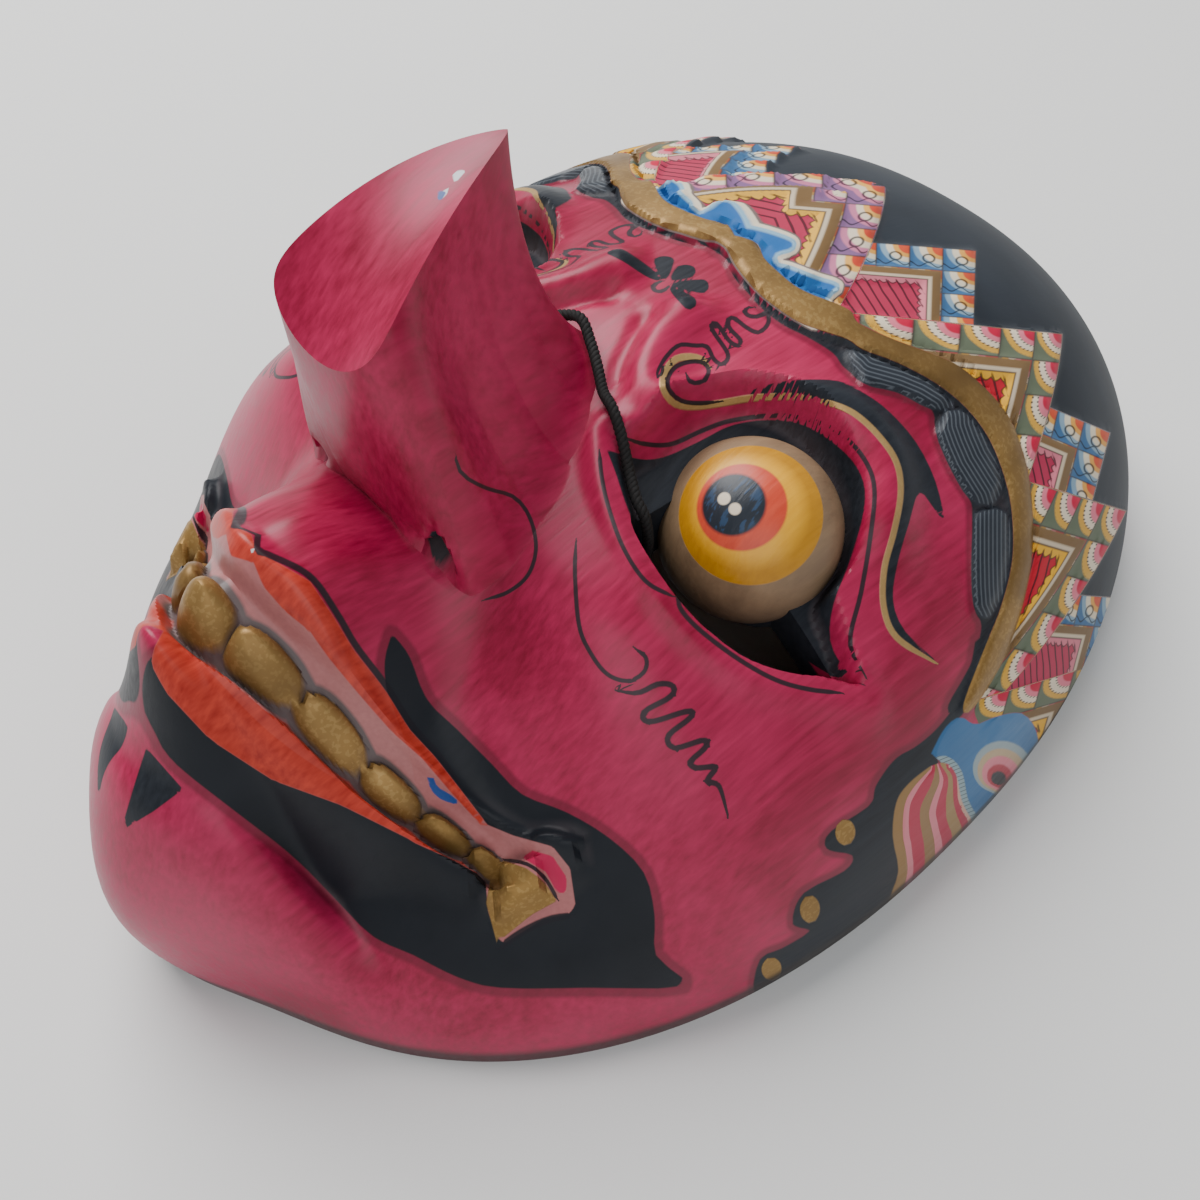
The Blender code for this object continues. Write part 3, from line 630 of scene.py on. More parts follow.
def closed_net(name, rings, kinds):
    """One closed mesh from rings of points, each ring with its kind of surface."""
    count = rings[0].shape[0]
    middle = rings[-1].mean(axis=0)
    points = np.vstack(rings + [middle[None, :]])
    faces = []
    for ring in range(len(rings) - 1):
        first = ring * count
        for index in range(count):
            after = (index + 1) % count
            faces.append((first + index, first + count + index, first + count + after, first + after))
    last = (len(rings) - 1) * count
    for index in range(count):
        faces.append((last + index, len(points) - 1, last + (index + 1) % count))
    mesh = bpy.data.meshes.new(name)
    mesh.from_pydata(points.tolist(), [], faces)
    kind = mesh.attributes.new("kind", 'FLOAT', 'POINT')
    values = np.concatenate([np.repeat(kinds, count), [kinds[-1]]])
    kind.data.foreach_set("value", values.astype(np.float32))
    net = bmesh.new()
    net.from_mesh(mesh)
    bmesh.ops.remove_doubles(net, verts=net.verts, dist=0.00001)
    bmesh.ops.dissolve_degenerate(net, edges=net.edges, dist=0.000005)
    bmesh.ops.recalc_face_normals(net, faces=net.faces)
    net.to_mesh(mesh)
    net.free()
    return new_object(name, mesh)


def slot_cutter(side):
    """The crescent that is cut through the wall below an eyeball."""
    back = [round_eye(turn, (EYE_RADIUS - 0.0025) / MM) for turn in range(334, 225, -12)]
    outline = list(smooth_path([SLOT_END] + lid_curve()[2:8] + [SLOT_TIP], 4)) + back
    net = bmesh.new()
    low = []
    for x, y in outline:
        low.append(net.verts.new((side * x * X_UNIT, (y + PLAN_SHIFT) * Y_UNIT, FACE_DEPTH * 0.3)))
    base = net.faces.new(low)
    grown = bmesh.ops.extrude_face_region(net, geom=[base])
    top = [item for item in grown["geom"] if isinstance(item, bmesh.types.BMVert)]
    bmesh.ops.translate(net, verts=top, vec=(0, 0, FACE_DEPTH))
    bmesh.ops.recalc_face_normals(net, faces=net.faces)
    mesh = bpy.data.meshes.new("eye_slot_cutter")
    net.to_mesh(mesh)
    net.free()
    return new_object("eye_slot_cutter", mesh)


def plain_mesh(item):
    """Replace an object's data by its finished plain mesh and drop its modifiers."""
    bpy.context.view_layer.update()
    graph = bpy.context.evaluated_depsgraph_get()
    mesh = bpy.data.meshes.new_from_object(item.evaluated_get(graph))
    name = item.name
    if item.type == 'MESH':
        item.modifiers.clear()
        item.data = mesh
        return item
    bpy.data.objects.remove(item, do_unlink=True)
    return new_object(name, mesh)


def cut_slots(mask):
    """Cut both crescents through the wall of the mask."""
    for side in (-1, 1):
        tool = slot_cutter(side)
        cut = mask.modifiers.new("slot", 'BOOLEAN')
        cut.operation = 'DIFFERENCE'
        cut.object = tool
        cut.solver = 'EXACT'
        plain_mesh(mask)
        bpy.data.objects.remove(tool, do_unlink=True)


def mesh_points(mesh):
    """All points of a mesh as an array."""
    points = np.zeros(len(mesh.vertices) * 3)
    mesh.vertices.foreach_get("co", points)
    return points.reshape(-1, 3)


def keep_in_box(mesh, node):
    """Keep the fine carving inside the box of the solid that it stands for."""
    low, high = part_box(node)
    points = np.clip(mesh_points(mesh), np.array(low), np.array(high))
    mesh.vertices.foreach_set("co", points.ravel())
    mesh.update()


def put_values(mesh, name, values):
    """Store one number per point under a name that the materials read."""
    layer = mesh.attributes.get(name) or mesh.attributes.new(name, 'FLOAT', 'POINT')
    layer.data.foreach_set("value", np.asarray(values, np.float32))


def rounded(outline):
    """A closed outline with its corners rounded off."""
    return [tuple(point) for point in smooth_path(outline + outline[:1], 3)[:-1]]


def area_values(across, down, outlines, margin=OUTSIDE):
    """How far inside any of several outlines each point lies, in drawing units."""
    best = np.full(across.shape, margin)
    for outline in outlines:
        corners = np.array(outline)
        low, high = corners.min(0) + margin, corners.max(0) - margin
        near = (across > low[0]) & (across < high[0]) & (down > low[1]) & (down < high[1])
        if near.any():
            best[near] = np.maximum(best[near], within(across[near], down[near], outline))
    return best


def line_runs(route, largest_turn=1.9):
    """Cut a winding line where it has turned far, and give each run with its share of the whole line."""
    curve = smooth_path(route, 5)
    heading = np.unwrap(np.arctan2(*np.diff(curve, axis=0).T[::-1]))
    runs, start = [], 0
    for index in range(1, len(heading)):
        if abs(heading[index] - heading[start]) > largest_turn:
            runs.append((start, index))
            start = index
    runs.append((start, len(heading)))
    return [(curve[first:last + 1], first / len(heading), last / len(heading)) for first, last in runs]


def line_values(across, down, lines, odd):
    """Distance across the nearest of every second run in half widths, and distance beyond its edge."""
    nearest = np.full(across.shape, 40.0)
    lateral = np.full(across.shape, 9.0)
    for sheet, half, points in lines:
        for run, first, last in line_runs(traced(sheet, *points))[odd::2]:
            low, high = run.min(0) - 30, run.max(0) + 30
            near = (across > low[0]) & (across < high[0]) & (down > low[1]) & (down < high[1])
            if not near.any():
                continue
            gap, along, side = off_path(across[near], down[near], run, 1)
            whole = first + (last - first) * along
            width = half * np.clip(np.minimum(whole, 1 - whole) * 9 + 0.4, 0, 1)
            closer = gap - width < nearest[near]
            nearest[near] = np.where(closer, gap - width, nearest[near])
            lateral[near] = np.where(closer, np.where(side < 0, -gap, gap) / width, lateral[near])
    return lateral, nearest


def petal_values(across, down):
    """How far inside the petals of the forehead flower each point lies."""
    best = np.full(across.shape, OUTSIDE)
    for start, stop, half in FLOWER_PETALS:
        (x0, y0), (x1, y1) = traced("crown", start, stop)
        run_x, run_y = x1 - x0, y1 - y0
        share = np.clip(((across - x0) * run_x + (down - y0) * run_y) / (run_x ** 2 + run_y ** 2), 0, 1)
        gap = np.hypot(across - x0 - share * run_x, down - y0 - share * run_y)
        best = np.maximum(best, half / SHEETS["crown"][2] * (0.25 + 0.95 * share ** 0.6) - gap)
    return best


def oval_values(across, down, ovals):
    """How far inside several upright ovals each point lies."""
    best = np.full(across.shape, OUTSIDE)
    for sheet, centre, half_x, half_y in ovals:
        (x, y), = traced(sheet, centre)
        scale = SHEETS[sheet][2]
        share = np.hypot((across - x) * scale / half_x, (down - y) * scale / half_y)
        best = np.maximum(best, (1 - share) * half_x / scale)
    return best


def nostril_values(points, across, down):
    """How far inside the nostrils each point lies; they open at the foot of the nose."""
    away = np.hypot(np.abs(points[:, 0]) / X_UNIT - 12.5, points[:, 1] / Y_UNIT - PLAN_SHIFT + 52)
    return np.where((away < 10) & (points[:, 2] > 0.03), area_values(across, down, [NOSTRIL]), OUTSIDE)


def open_nostrils(mesh, depth=0.002):
    """Press the surface in at both nostrils and store how far inside them each point lies."""
    points = mesh_points(mesh)
    across, down = drawing_place(points)
    normals = np.zeros(len(points) * 3)
    mesh.vertices.foreach_get("normal", normals)
    values = nostril_values(points, across, down)
    put_values(mesh, "nostril", values)
    inside = soft((values + 1.5) / 5.0)
    points = points - depth * inside[:, None] * normals.reshape(-1, 3)
    mesh.vertices.foreach_set("co", points.ravel())
    mesh.update()


def one_side(points, values):
    """Keep a chip on the nearer half of the mask only."""
    return np.where(points[:, 0] > 0, values, OUTSIDE)


def crease_values(mesh, points, rounds=3):
    """How hollow the surface is at each point, from 0 to 1."""
    ends = np.zeros(len(mesh.edges) * 2, np.int64)
    mesh.edges.foreach_get("vertices", ends)
    ends = ends.reshape(-1, 2)
    normals = np.zeros(len(mesh.vertices) * 3)
    mesh.vertices.foreach_get("normal", normals)
    normals = normals.reshape(-1, 3)
    count = len(points)
    degree = np.bincount(ends.ravel(), minlength=count)
    run = points[ends[:, 1]] - points[ends[:, 0]]
    length = np.maximum(np.linalg.norm(run, axis=1), 1e-7)
    rise_first = np.einsum("ij,ij->i", run, normals[ends[:, 0]]) / length
    rise_second = -np.einsum("ij,ij->i", run, normals[ends[:, 1]]) / length
    value = np.bincount(ends[:, 0], rise_first, count) + np.bincount(ends[:, 1], rise_second, count)
    value = value / np.maximum(degree, 1)
    for _ in range(rounds):
        total = np.bincount(ends[:, 0], value[ends[:, 1]], count)
        total = total + np.bincount(ends[:, 1], value[ends[:, 0]], count)
        value = 0.4 * value + 0.6 * total / np.maximum(degree, 1)
    return value


def paint_values(mask):
    """Work out every painted area of the mask and store it on the points."""
    mesh = mask.data
    points = mesh_points(mesh)
    kind = np.zeros(len(points))
    mesh.attributes["kind"].data.foreach_get("value", kind)
    across, down = drawing_place(points)
    side = np.abs(points[:, 0]) / X_UNIT
    y = points[:, 1] / Y_UNIT - PLAN_SHIFT
    nose = np.abs(kind - NOSE) < 0.5
    depth = plain_height(points[:, 0] / X_UNIT, y) - points[:, 2] / Z_UNIT
    cut_wall = (kind < CUT + 0.5) & (depth > 1.0)

    def face_only(values):
        return np.where(nose, OUTSIDE, values)

    head = BAND_HIGH + traced("whole", (975, 715), (1010, 800), (1300, 1100), (1300, -200), (600, -200))
    hair = HAIRLINE + BAND_LOW[::-1]
    put_values(mesh, "head", face_only(area_values(across, down, [head])))
    put_values(mesh, "hair", face_only(area_values(across, down, [rounded(hair), rounded(SIDE_HAIR)])))
    put_values(mesh, "moustache", face_only(area_values(across, down, [rounded(MOUSTACHE)])))
    dark = area_values(across, down, [rounded(BROW), rounded(SOCKET), CHIN_MARK])
    dark = np.where(cut_wall, 9.0, face_only(np.maximum(dark, petal_values(across, down))))
    # Painted shade: the pressed-in nostrils take the same near-black as the brow and socket, standing in for the
    # shade inside them
    nostril = np.zeros(len(points))
    mesh.attributes["nostril"].data.foreach_get("value", nostril)
    put_values(mesh, "dark", np.maximum(dark, nostril))
    put_values(mesh, "white_chip", one_side(points, area_values(across, down, WHITE_CHIPS)))
    put_values(mesh, "blue_chip", one_side(points, area_values(across, down, BLUE_CHIPS)))
    put_values(mesh, "lock", face_only(area_values(across, down, [rounded(lock) for lock in LOCKS])))
    put_values(mesh, "strand", off_path(across, down, HAIRLINE, 2)[0])
    gold = area_values(across, down, [rounded(BAND_LOW + BAND_HIGH[::-1])])
    put_values(mesh, "gold", face_only(np.maximum(gold, oval_values(across, down, SIDE_OVALS))))
    put_values(mesh, "mouth", face_only(area_values(across, down, [MOUTH])))
    put_values(mesh, "lips", face_only(area_values(across, down, LIPS)))
    put_values(mesh, "fang", face_only(area_values(across, down, [FANG])))
    put_values(mesh, "fang_patch", face_only(area_values(across, down, [FANG_PATCH])))
    put_values(mesh, "cloud", face_only(area_values(across, down, [rounded(CLOUD)])))
    put_values(mesh, "ear", face_only(area_values(across, down, [rounded(EAR)])))
    put_values(mesh, "sheath", face_only(area_values(across, down, [rounded(SHEATH)])))
    left = off_path(across, down, EAR_LEFT)[0]
    right = off_path(across, down, EAR_RIGHT)[0]
    put_values(mesh, "stripe", left / np.maximum(left + right, 1e-6))
    (eye_x, eye_y), = traced(*FEATHER_PUPIL)
    turn = np.arctan2(eye_y - down, across - eye_x)
    put_values(mesh, "feather", np.hypot(across - eye_x, down - eye_y) / (1 + 0.55 * np.cos(turn - 1.1)))
    put_values(mesh, "tooth", face_only(3.0 * oval_tooth(side, y)))
    for name, lines in (("black", BLACK_LINES), ("gilt", GOLD_LINES)):
        for odd in (0, 1):
            lateral, beyond = line_values(across, down, lines, odd)
            put_values(mesh, f"{name}_lateral_{odd}", lateral)
            put_values(mesh, f"{name}_beyond_{odd}", beyond)
    put_values(mesh, "crease", crease_values(mesh, points))
    uv = mesh.uv_layers.new(name="drawing")
    corner = np.zeros(len(mesh.loops), np.int64)
    mesh.loops.foreach_get("vertex_index", corner)
    flat = np.stack([across, down], axis=-1)[corner] / DRAWING
    uv.data.foreach_set("uv", flat.ravel())
    corners = [np.array(face.vertices) for face in mesh.polygons]
    head_value = np.zeros(len(points))
    mesh.attributes["head"].data.foreach_get("value", head_value)
    for face, own in zip(mesh.polygons, corners):
        if kind[own].max() > HOLLOW - 0.5 and kind[own].min() > CUT + 0.5:
            face.material_index = BARE_WOOD
        elif head_value[own].max() > -8:
            face.material_index = HEADDRESS_PAINT
    mesh.attributes.remove(mesh.attributes["kind"])


class Graph:
    """Adds linked nodes to one node tree."""

    def __init__(self, tree):
        self.tree = tree

    def put(self, kind, inputs=None, **settings):
        node = self.tree.nodes.new(kind)
        for key, value in settings.items():
            setattr(node, key, value)
        for key, value in (inputs or {}).items():
            self.feed(node.inputs[key], value)
        return node

    def feed(self, socket, value):
        if isinstance(value, bpy.types.NodeSocket):
            self.tree.links.new(value, socket)
        elif hasattr(value, "__len__") and len(value) == 3 and socket.type == 'RGBA':
            socket.default_value = (*value, 1)
        else:
            socket.default_value = value

    def math(self, operation, first, second=0.0, third=0.0, clamp=False):
        return self.put("ShaderNodeMath", {0: first, 1: second, 2: third}, operation=operation,
                        use_clamp=clamp).outputs[0]

    def vector(self, operation, first, second=(0, 0, 0)):
        node = self.put("ShaderNodeVectorMath", {0: first, 1: second}, operation=operation)
        return node.outputs[1] if operation in ('DOT_PRODUCT', 'LENGTH', 'DISTANCE') else node.outputs[0]

    def mix(self, share, first, second, blend='MIX'):
        return self.put("ShaderNodeMix", {0: share, 6: first, 7: second}, data_type='RGBA',
                        blend_type=blend).outputs[2]

    def blend(self, share, first, second):
        return self.put("ShaderNodeMix", {0: share, 2: first, 3: second}, data_type='FLOAT').outputs[0]

    def value(self, name):
        return self.put("ShaderNodeAttribute", attribute_name=name, attribute_type='GEOMETRY').outputs["Fac"]

    def noise(self, vector, scale, detail=3.0, roughness=0.55):
        return self.put("ShaderNodeTexNoise", {"Vector": vector, "Scale": scale, "Detail": detail,
                                               "Roughness": roughness}).outputs["Fac"]

    def edge(self, distance, softness=1.0):
        """1 inside a painted area and 0 outside, with an edge as wide as softness."""
        return self.math('MULTIPLY_ADD', distance, 1.0 / softness, 0.5, clamp=True)

    def between(self, value, low, high, softness=0.05):
        """1 where a value lies between two limits."""
        above = self.edge(self.math('SUBTRACT', value, low), softness)
        below = self.edge(self.math('SUBTRACT', high, value), softness)
        return self.math('MULTIPLY', above, below)

    def both(self, first, second):
        return self.math('MULTIPLY', first, second)

    def use(self, group, inputs=None):
        node = self.put("ShaderNodeGroup", node_tree=group)
        for key, value in (inputs or {}).items():
            self.feed(node.inputs[key], value)
        return node.outputs


def new_group(name, inputs, outputs):
    """A shader node group with named inputs and outputs, each given with its type and default."""
    group = bpy.data.node_groups.new(name, 'ShaderNodeTree')
    for label, kind, default in inputs:
        socket = group.interface.new_socket(name=label, in_out='INPUT', socket_type=kind)
        if default is not None:
            socket.default_value = default
    for label, kind in outputs:
        group.interface.new_socket(name=label, in_out='OUTPUT', socket_type=kind)
    graph = Graph(group)
    return group, graph, graph.put("NodeGroupInput").outputs, graph.put("NodeGroupOutput").inputs


FLOAT = 'NodeSocketFloat'
VECTOR = 'NodeSocketVector'
COLOUR = 'NodeSocketColor'


def lacquer_group():
    """Fine brush streaks and broad uneven patches in thick old paint."""
    group, g, given, wanted = new_group("Brushed lacquer", [("Fineness", FLOAT, 1.0)],
                                        [("Streak", FLOAT), ("Patch", FLOAT), ("Speck", FLOAT)])
    place = g.put("ShaderNodeTexCoord").outputs["Object"]
    bent = g.vector('ADD', place, g.math('MULTIPLY', g.noise(place, 14.0, 1.0), 0.02))
    turned = g.put("ShaderNodeMapping", {"Vector": bent, "Rotation": (0.3, 0.5, 0.7),
                                         "Scale": (1300, 90, 600)}).outputs[0]
    scaled = g.put("ShaderNodeVectorMath", {0: turned, "Scale": given["Fineness"]},
                   operation='SCALE').outputs[0]
    g.feed(wanted["Streak"], g.noise(scaled, 1.0, 2.0, 0.6))
    g.feed(wanted["Patch"], g.noise(place, 38.0, 3.0, 0.6))
    g.feed(wanted["Speck"], g.noise(place, 1500.0, 1.0, 0.5))
    return group


def stroke_group():
    """A thin painted line, from the distance across it and the distance beyond its edge."""
    group, g, given, wanted = new_group("Thin stroke", [("Across", FLOAT, 9.0), ("Beyond", FLOAT, 9.0)],
                                        [("Mask", FLOAT)])
    inside = g.math('SUBTRACT', 1.0, g.math('ABSOLUTE', given["Across"]))
    sharp = g.edge(inside, 0.45)
    close = g.math('LESS_THAN', given["Beyond"], 2.8)
    g.feed(wanted["Mask"], g.both(sharp, close))
    return group


def tiles_group():
    """Tiles along the two edges of one stepped panel, from its point outwards."""
    group, g, given, wanted = new_group(
        "Panel tiles", [("Place", VECTOR, None), ("Point", VECTOR, None), ("Far row", VECTOR, None),
                        ("Near row", VECTOR, None), ("Far growth", FLOAT, 0.1), ("Near growth", FLOAT, 0.1),
                        ("Bend", FLOAT, 0.0), ("Far tiles", FLOAT, 5.0)],
        [("Far", FLOAT), ("Near", FLOAT), ("Mask", FLOAT)])
    away = g.vector('SUBTRACT', given["Place"], given["Point"])

    def grown(value, growth):
        inner = g.math('MULTIPLY_ADD', g.math('MULTIPLY', value, growth), 4.0, 1.0)
        root = g.math('SQRT', g.math('MAXIMUM', inner, 0.0))
        return g.math('DIVIDE', g.math('SUBTRACT', root, 1.0), g.math('MULTIPLY', growth, 2.0))

    near = grown(g.vector('DOT_PRODUCT', away, given["Near row"]), given["Near growth"])
    far = g.vector('DOT_PRODUCT', away, given["Far row"])
    lean = g.math('MULTIPLY', g.math('MULTIPLY', near, g.math('ABSOLUTE', near)), given["Bend"])
    far = grown(g.math('SUBTRACT', far, lean), given["Far growth"])
    least = g.math('MINIMUM', far, near)
    end = g.math('SUBTRACT', given["Far tiles"], far)
    g.feed(wanted["Far"], far)
    g.feed(wanted["Near"], near)
    g.feed(wanted["Mask"], g.edge(g.math('MINIMUM', least, end), 0.05))
    return group


def fan_group():
    """The painting of one tile: coloured arcs round its outer corner, with dots or curls on them."""
    group, g, given, wanted = new_group(
        "Fan tile", [("Far", FLOAT, 0.0), ("Near", FLOAT, 0.0), ("Waver", FLOAT, 0.5),
        ("Corner", COLOUR, None),
                     ("Second", COLOUR, None), ("Third", COLOUR, None), ("Fourth", COLOUR, None),
                     ("Ground", COLOUR, None), ("Dots", FLOAT, 1.0)],
        [("Colour", COLOUR)])
    u = g.math('FRACT', given["Far"])
    v = g.math('FRACT', given["Near"])
    sweep = g.math('SQRT', g.math('ADD', g.math('MULTIPLY', u, u), g.math('MULTIPLY', v, v)))
    sweep = g.math('MULTIPLY_ADD', g.math('SUBTRACT', given["Waver"], 0.5), 0.14, sweep)
    colour = given["Corner"]
    for start, shade in ((0.36, "Second"), (0.53, "Third"), (0.74, "Fourth"), (0.92, "Ground")):
        colour = g.mix(g.edge(g.math('SUBTRACT', sweep, start), 0.05), colour, given[shade])
    turn = g.math('ARCTAN2', v, u)
    beads = g.math('PINGPONG', g.math('MULTIPLY', turn, g.math('MULTIPLY_ADD', sweep, 5.0, 2.0)), 0.5)
    rings = g.math('PINGPONG', g.math('DIVIDE', g.math('SUBTRACT', sweep, 0.55), 0.19), 0.5)
    dot = g.both(g.edge(g.math('SUBTRACT', beads, 0.30), 0.08), g.edge(g.math('SUBTRACT', 0.17, rings), 0.08))
    dot = g.both(dot, g.between(sweep, 0.48, 0.9))
    flat = g.put("ShaderNodeCombineXYZ", {0: u, 1: v}).outputs[0]
    curl = g.vector('DISTANCE', flat, (0.42, 0.5, 0))
    curl = g.edge(g.math('SUBTRACT', 0.035, g.math('ABSOLUTE', g.math('SUBTRACT', curl, 0.17))), 0.04)
    wave = g.math('MULTIPLY_ADD', g.math('SINE', g.math('MULTIPLY', u, 11.0)), 0.09, 0.78)
    wave = g.edge(g.math('SUBTRACT', 0.03, g.math('ABSOLUTE', g.math('SUBTRACT', v, wave))), 0.04)
    ink = g.blend(given["Dots"], g.math('MAXIMUM', curl, wave), dot)
    colour = g.mix(g.math('MULTIPLY', ink, 0.85), colour, (0.016, 0.016, 0.02))
    # Painted shade: a dark brown line along each tile's edges stands in for the shade in the grooves between the
    # tiles
    gap = g.math('MINIMUM', g.math('MINIMUM', u, v), g.math('SUBTRACT', 1.0, g.math('MAXIMUM', u, v)))
    groove_shade = g.edge(g.math('SUBTRACT', 0.025, gap), 0.04)
    g.feed(wanted["Colour"], g.mix(g.math('MULTIPLY', groove_shade, 0.8), colour, (0.055, 0.043, 0.036)))
    return group


def field_group():
    """Inside a stepped panel: bronze line, cream border, scalloped edge and a hatched field."""
    group, g, given, wanted = new_group(
        "Hatched field", [("Far", FLOAT, 0.0), ("Near", FLOAT, 0.0), ("Waver", FLOAT, 0.5),
                          ("Scallop", COLOUR, None), ("Field", COLOUR, None)], [("Colour", COLOUR)])
    least = g.math('SUBTRACT', g.math('MINIMUM', given["Far"], given["Near"]), 1.0)
    along = g.math('MAXIMUM', given["Far"], given["Near"])
    colour = g.mix(g.edge(g.math('SUBTRACT', least, 0.30), 0.06), (0.165, 0.098, 0.042), (0.52, 0.42, 0.30))
    arch = g.math('ABSOLUTE', g.math('SINE', g.math('MULTIPLY', along, 12.0)))
    limit = g.math('MULTIPLY_ADD', arch, 0.10, 0.62)
    colour = g.mix(g.edge(g.math('SUBTRACT', least, 0.44), 0.05), colour, given["Scallop"])
    inner = g.math('SUBTRACT', least, limit)
    colour = g.mix(g.edge(inner, 0.05), colour, given["Field"])
    slant = g.math('ADD', g.math('MULTIPLY', given["Far"], 3.1), g.math('MULTIPLY', given["Near"], 1.5))
    slant = g.math('MULTIPLY_ADD', given["Waver"], 0.5, slant)
    hatch = g.edge(g.math('SUBTRACT', 0.11, g.math('PINGPONG', slant, 0.5)), 0.07)
    hatch = g.both(hatch, g.edge(g.math('SUBTRACT', inner, -0.12), 0.1))
    rim = g.edge(g.math('SUBTRACT', 0.028, g.math('ABSOLUTE', inner)), 0.04)
    outer = g.edge(g.math('SUBTRACT', 0.025, g.math('ABSOLUTE', g.math('SUBTRACT', least, 0.44))), 0.04)
    ink = g.math('MAXIMUM', g.math('MAXIMUM', hatch, rim), outer)
    g.feed(wanted["Colour"], g.mix(g.math('MULTIPLY', ink, 0.8), colour, (0.02, 0.014, 0.016)))
    return group


def wood_group():
    """Bare carved wood: long grain with darker lines and pores."""
    group, g, given, wanted = new_group("Carved wood", [("Light", COLOUR, (0.50, 0.36, 0.23, 1)),
                                                        ("Dark", COLOUR, (0.24, 0.15, 0.085, 1))],
                                        [("Colour", COLOUR), ("Grain", FLOAT)])
    place = g.put("ShaderNodeTexCoord").outputs["Object"]
    along = g.put("ShaderNodeMapping", {"Vector": place, "Scale": (420, 22, 200)}).outputs[0]
    fine = g.noise(along, 1.0, 5.0, 0.65)
    broad = g.noise(g.put("ShaderNodeMapping", {"Vector": place, "Scale": (90, 6, 50)}).outputs[0], 1.0, 3.0)
    grain = g.math('MULTIPLY_ADD', fine, 0.6, g.math('MULTIPLY', broad, 0.4))
    spread = g.math('MULTIPLY_ADD', g.math('SUBTRACT', grain, 0.5), 2.6, 0.5, clamp=True)
    g.feed(wanted["Colour"], g.mix(spread, given["Dark"], given["Light"]))
    g.feed(wanted["Grain"], spread)
    return group


def new_material(name):
    """A material with an empty tree, its shader and output linked."""
    material = bpy.data.materials.new(name)
    material.use_nodes = True
    material.node_tree.nodes.clear()
    g = Graph(material.node_tree)
    shader = g.put("ShaderNodeBsdfPrincipled")
    output = g.put("ShaderNodeOutputMaterial", {"Surface": shader.outputs[0]})
    output.is_active_output = True
    return material, g, shader


def headdress_paint(g, place, lacquer):
    """Colour of the stepped headdress: its painted panels on the slate ground."""
    tiles, fan, field = tiles_group(), fan_group(), field_group()
    far, near, painted, lilac, green = None, None, None, None, None
    for point, far_step, near_step, far_growth, near_growth, bend, far_tiles, kind in PANELS:
        far_row, near_row = panel_rows(far_step, near_step)
        out = g.use(tiles, {"Place": place, "Point": (*point, 0), "Far row": (*far_row, 0),
                            "Near row": (*near_row, 0), "Far growth": max(far_growth, 0.002),
                            "Near growth": max(near_growth, 0.002), "Bend": bend, "Far tiles": far_tiles})
        if far is None:
            far, near, painted = out["Far"], out["Near"], out["Mask"]
            lilac, green = 0.0, 0.0
            continue
        far = g.blend(out["Mask"], far, out["Far"])
        near = g.blend(out["Mask"], near, out["Near"])
        painted = g.math('MAXIMUM', painted, out["Mask"])
        lilac = g.blend(out["Mask"], lilac, 1.0 if kind == 2 else 0.0)
        green = g.blend(out["Mask"], green, 1.0 if kind == 1 else 0.0)
    waver = g.noise(place, 0.035, 1.0)

    def shade(blue, leafy, mauve):
        return g.mix(lilac, g.mix(green, blue, leafy), mauve)

    tile = g.use(fan, {"Far": far, "Near": near, "Waver": waver, "Dots": green,
                       "Corner": shade((0.52, 0.07, 0.03), (0.46, 0.012, 0.045), (0.50, 0.055, 0.03)),
                       "Second": shade((0.62, 0.30, 0.06), (0.62, 0.16, 0.21), (0.70, 0.36, 0.08)),
                       "Third": shade((0.62, 0.54, 0.40), (0.66, 0.56, 0.42), (0.66, 0.55, 0.42)),
                       "Fourth": shade((0.20, 0.30, 0.38), (0.56, 0.31, 0.05), (0.50, 0.16, 0.26)),
                       "Ground": shade((0.045, 0.12, 0.24), (0.11, 0.13, 0.085), (0.20, 0.10, 0.21))})
    inner = g.use(field, {"Far": far, "Near": near, "Waver": waver,
                          "Scallop": g.mix(green, g.mix(lilac, (0.55, 0.16, 0.20), (0.66, 0.36, 0.05)),
                                           (0.66, 0.35, 0.03)),
                          "Field": g.mix(green, (0.38, 0.03, 0.07), (0.44, 0.016, 0.03))})
    deep = g.edge(g.math('SUBTRACT', g.math('MINIMUM', far, near), 1.03), 0.05)
    colour = g.mix(deep, tile["Colour"], inner["Colour"])
    ground = g.mix(lacquer["Patch"], (0.006, 0.008, 0.011), (0.040, 0.047, 0.058))
    colour = g.mix(painted, ground, colour)
    return colour


def painted_lines(g, stroke, name):
    """Mask of both sets of runs of a family of thin lines."""
    masks = []
    for odd in (0, 1):
        masks.append(g.use(stroke, {"Across": g.value(f"{name}_lateral_{odd}"),
                                    "Beyond": g.value(f"{name}_beyond_{odd}")})["Mask"])
    return g.math('MAXIMUM', *masks)


def hollow_material():
    """Bare carved wood of the hollow and the flat rim."""
    material, g, shader = new_material("bare_wood")
    wood = g.use(wood_group())
    g.feed(shader.inputs["Base Color"], wood["Colour"])
    shader.inputs["Roughness"].default_value = 0.78
    bump = g.put("ShaderNodeBump", {"Strength": 0.5, "Distance": 0.0004,
                                    "Height": g.math('MULTIPLY', wood["Grain"], 0.6)})
    g.feed(shader.inputs["Normal"], bump.outputs[0])
    return material


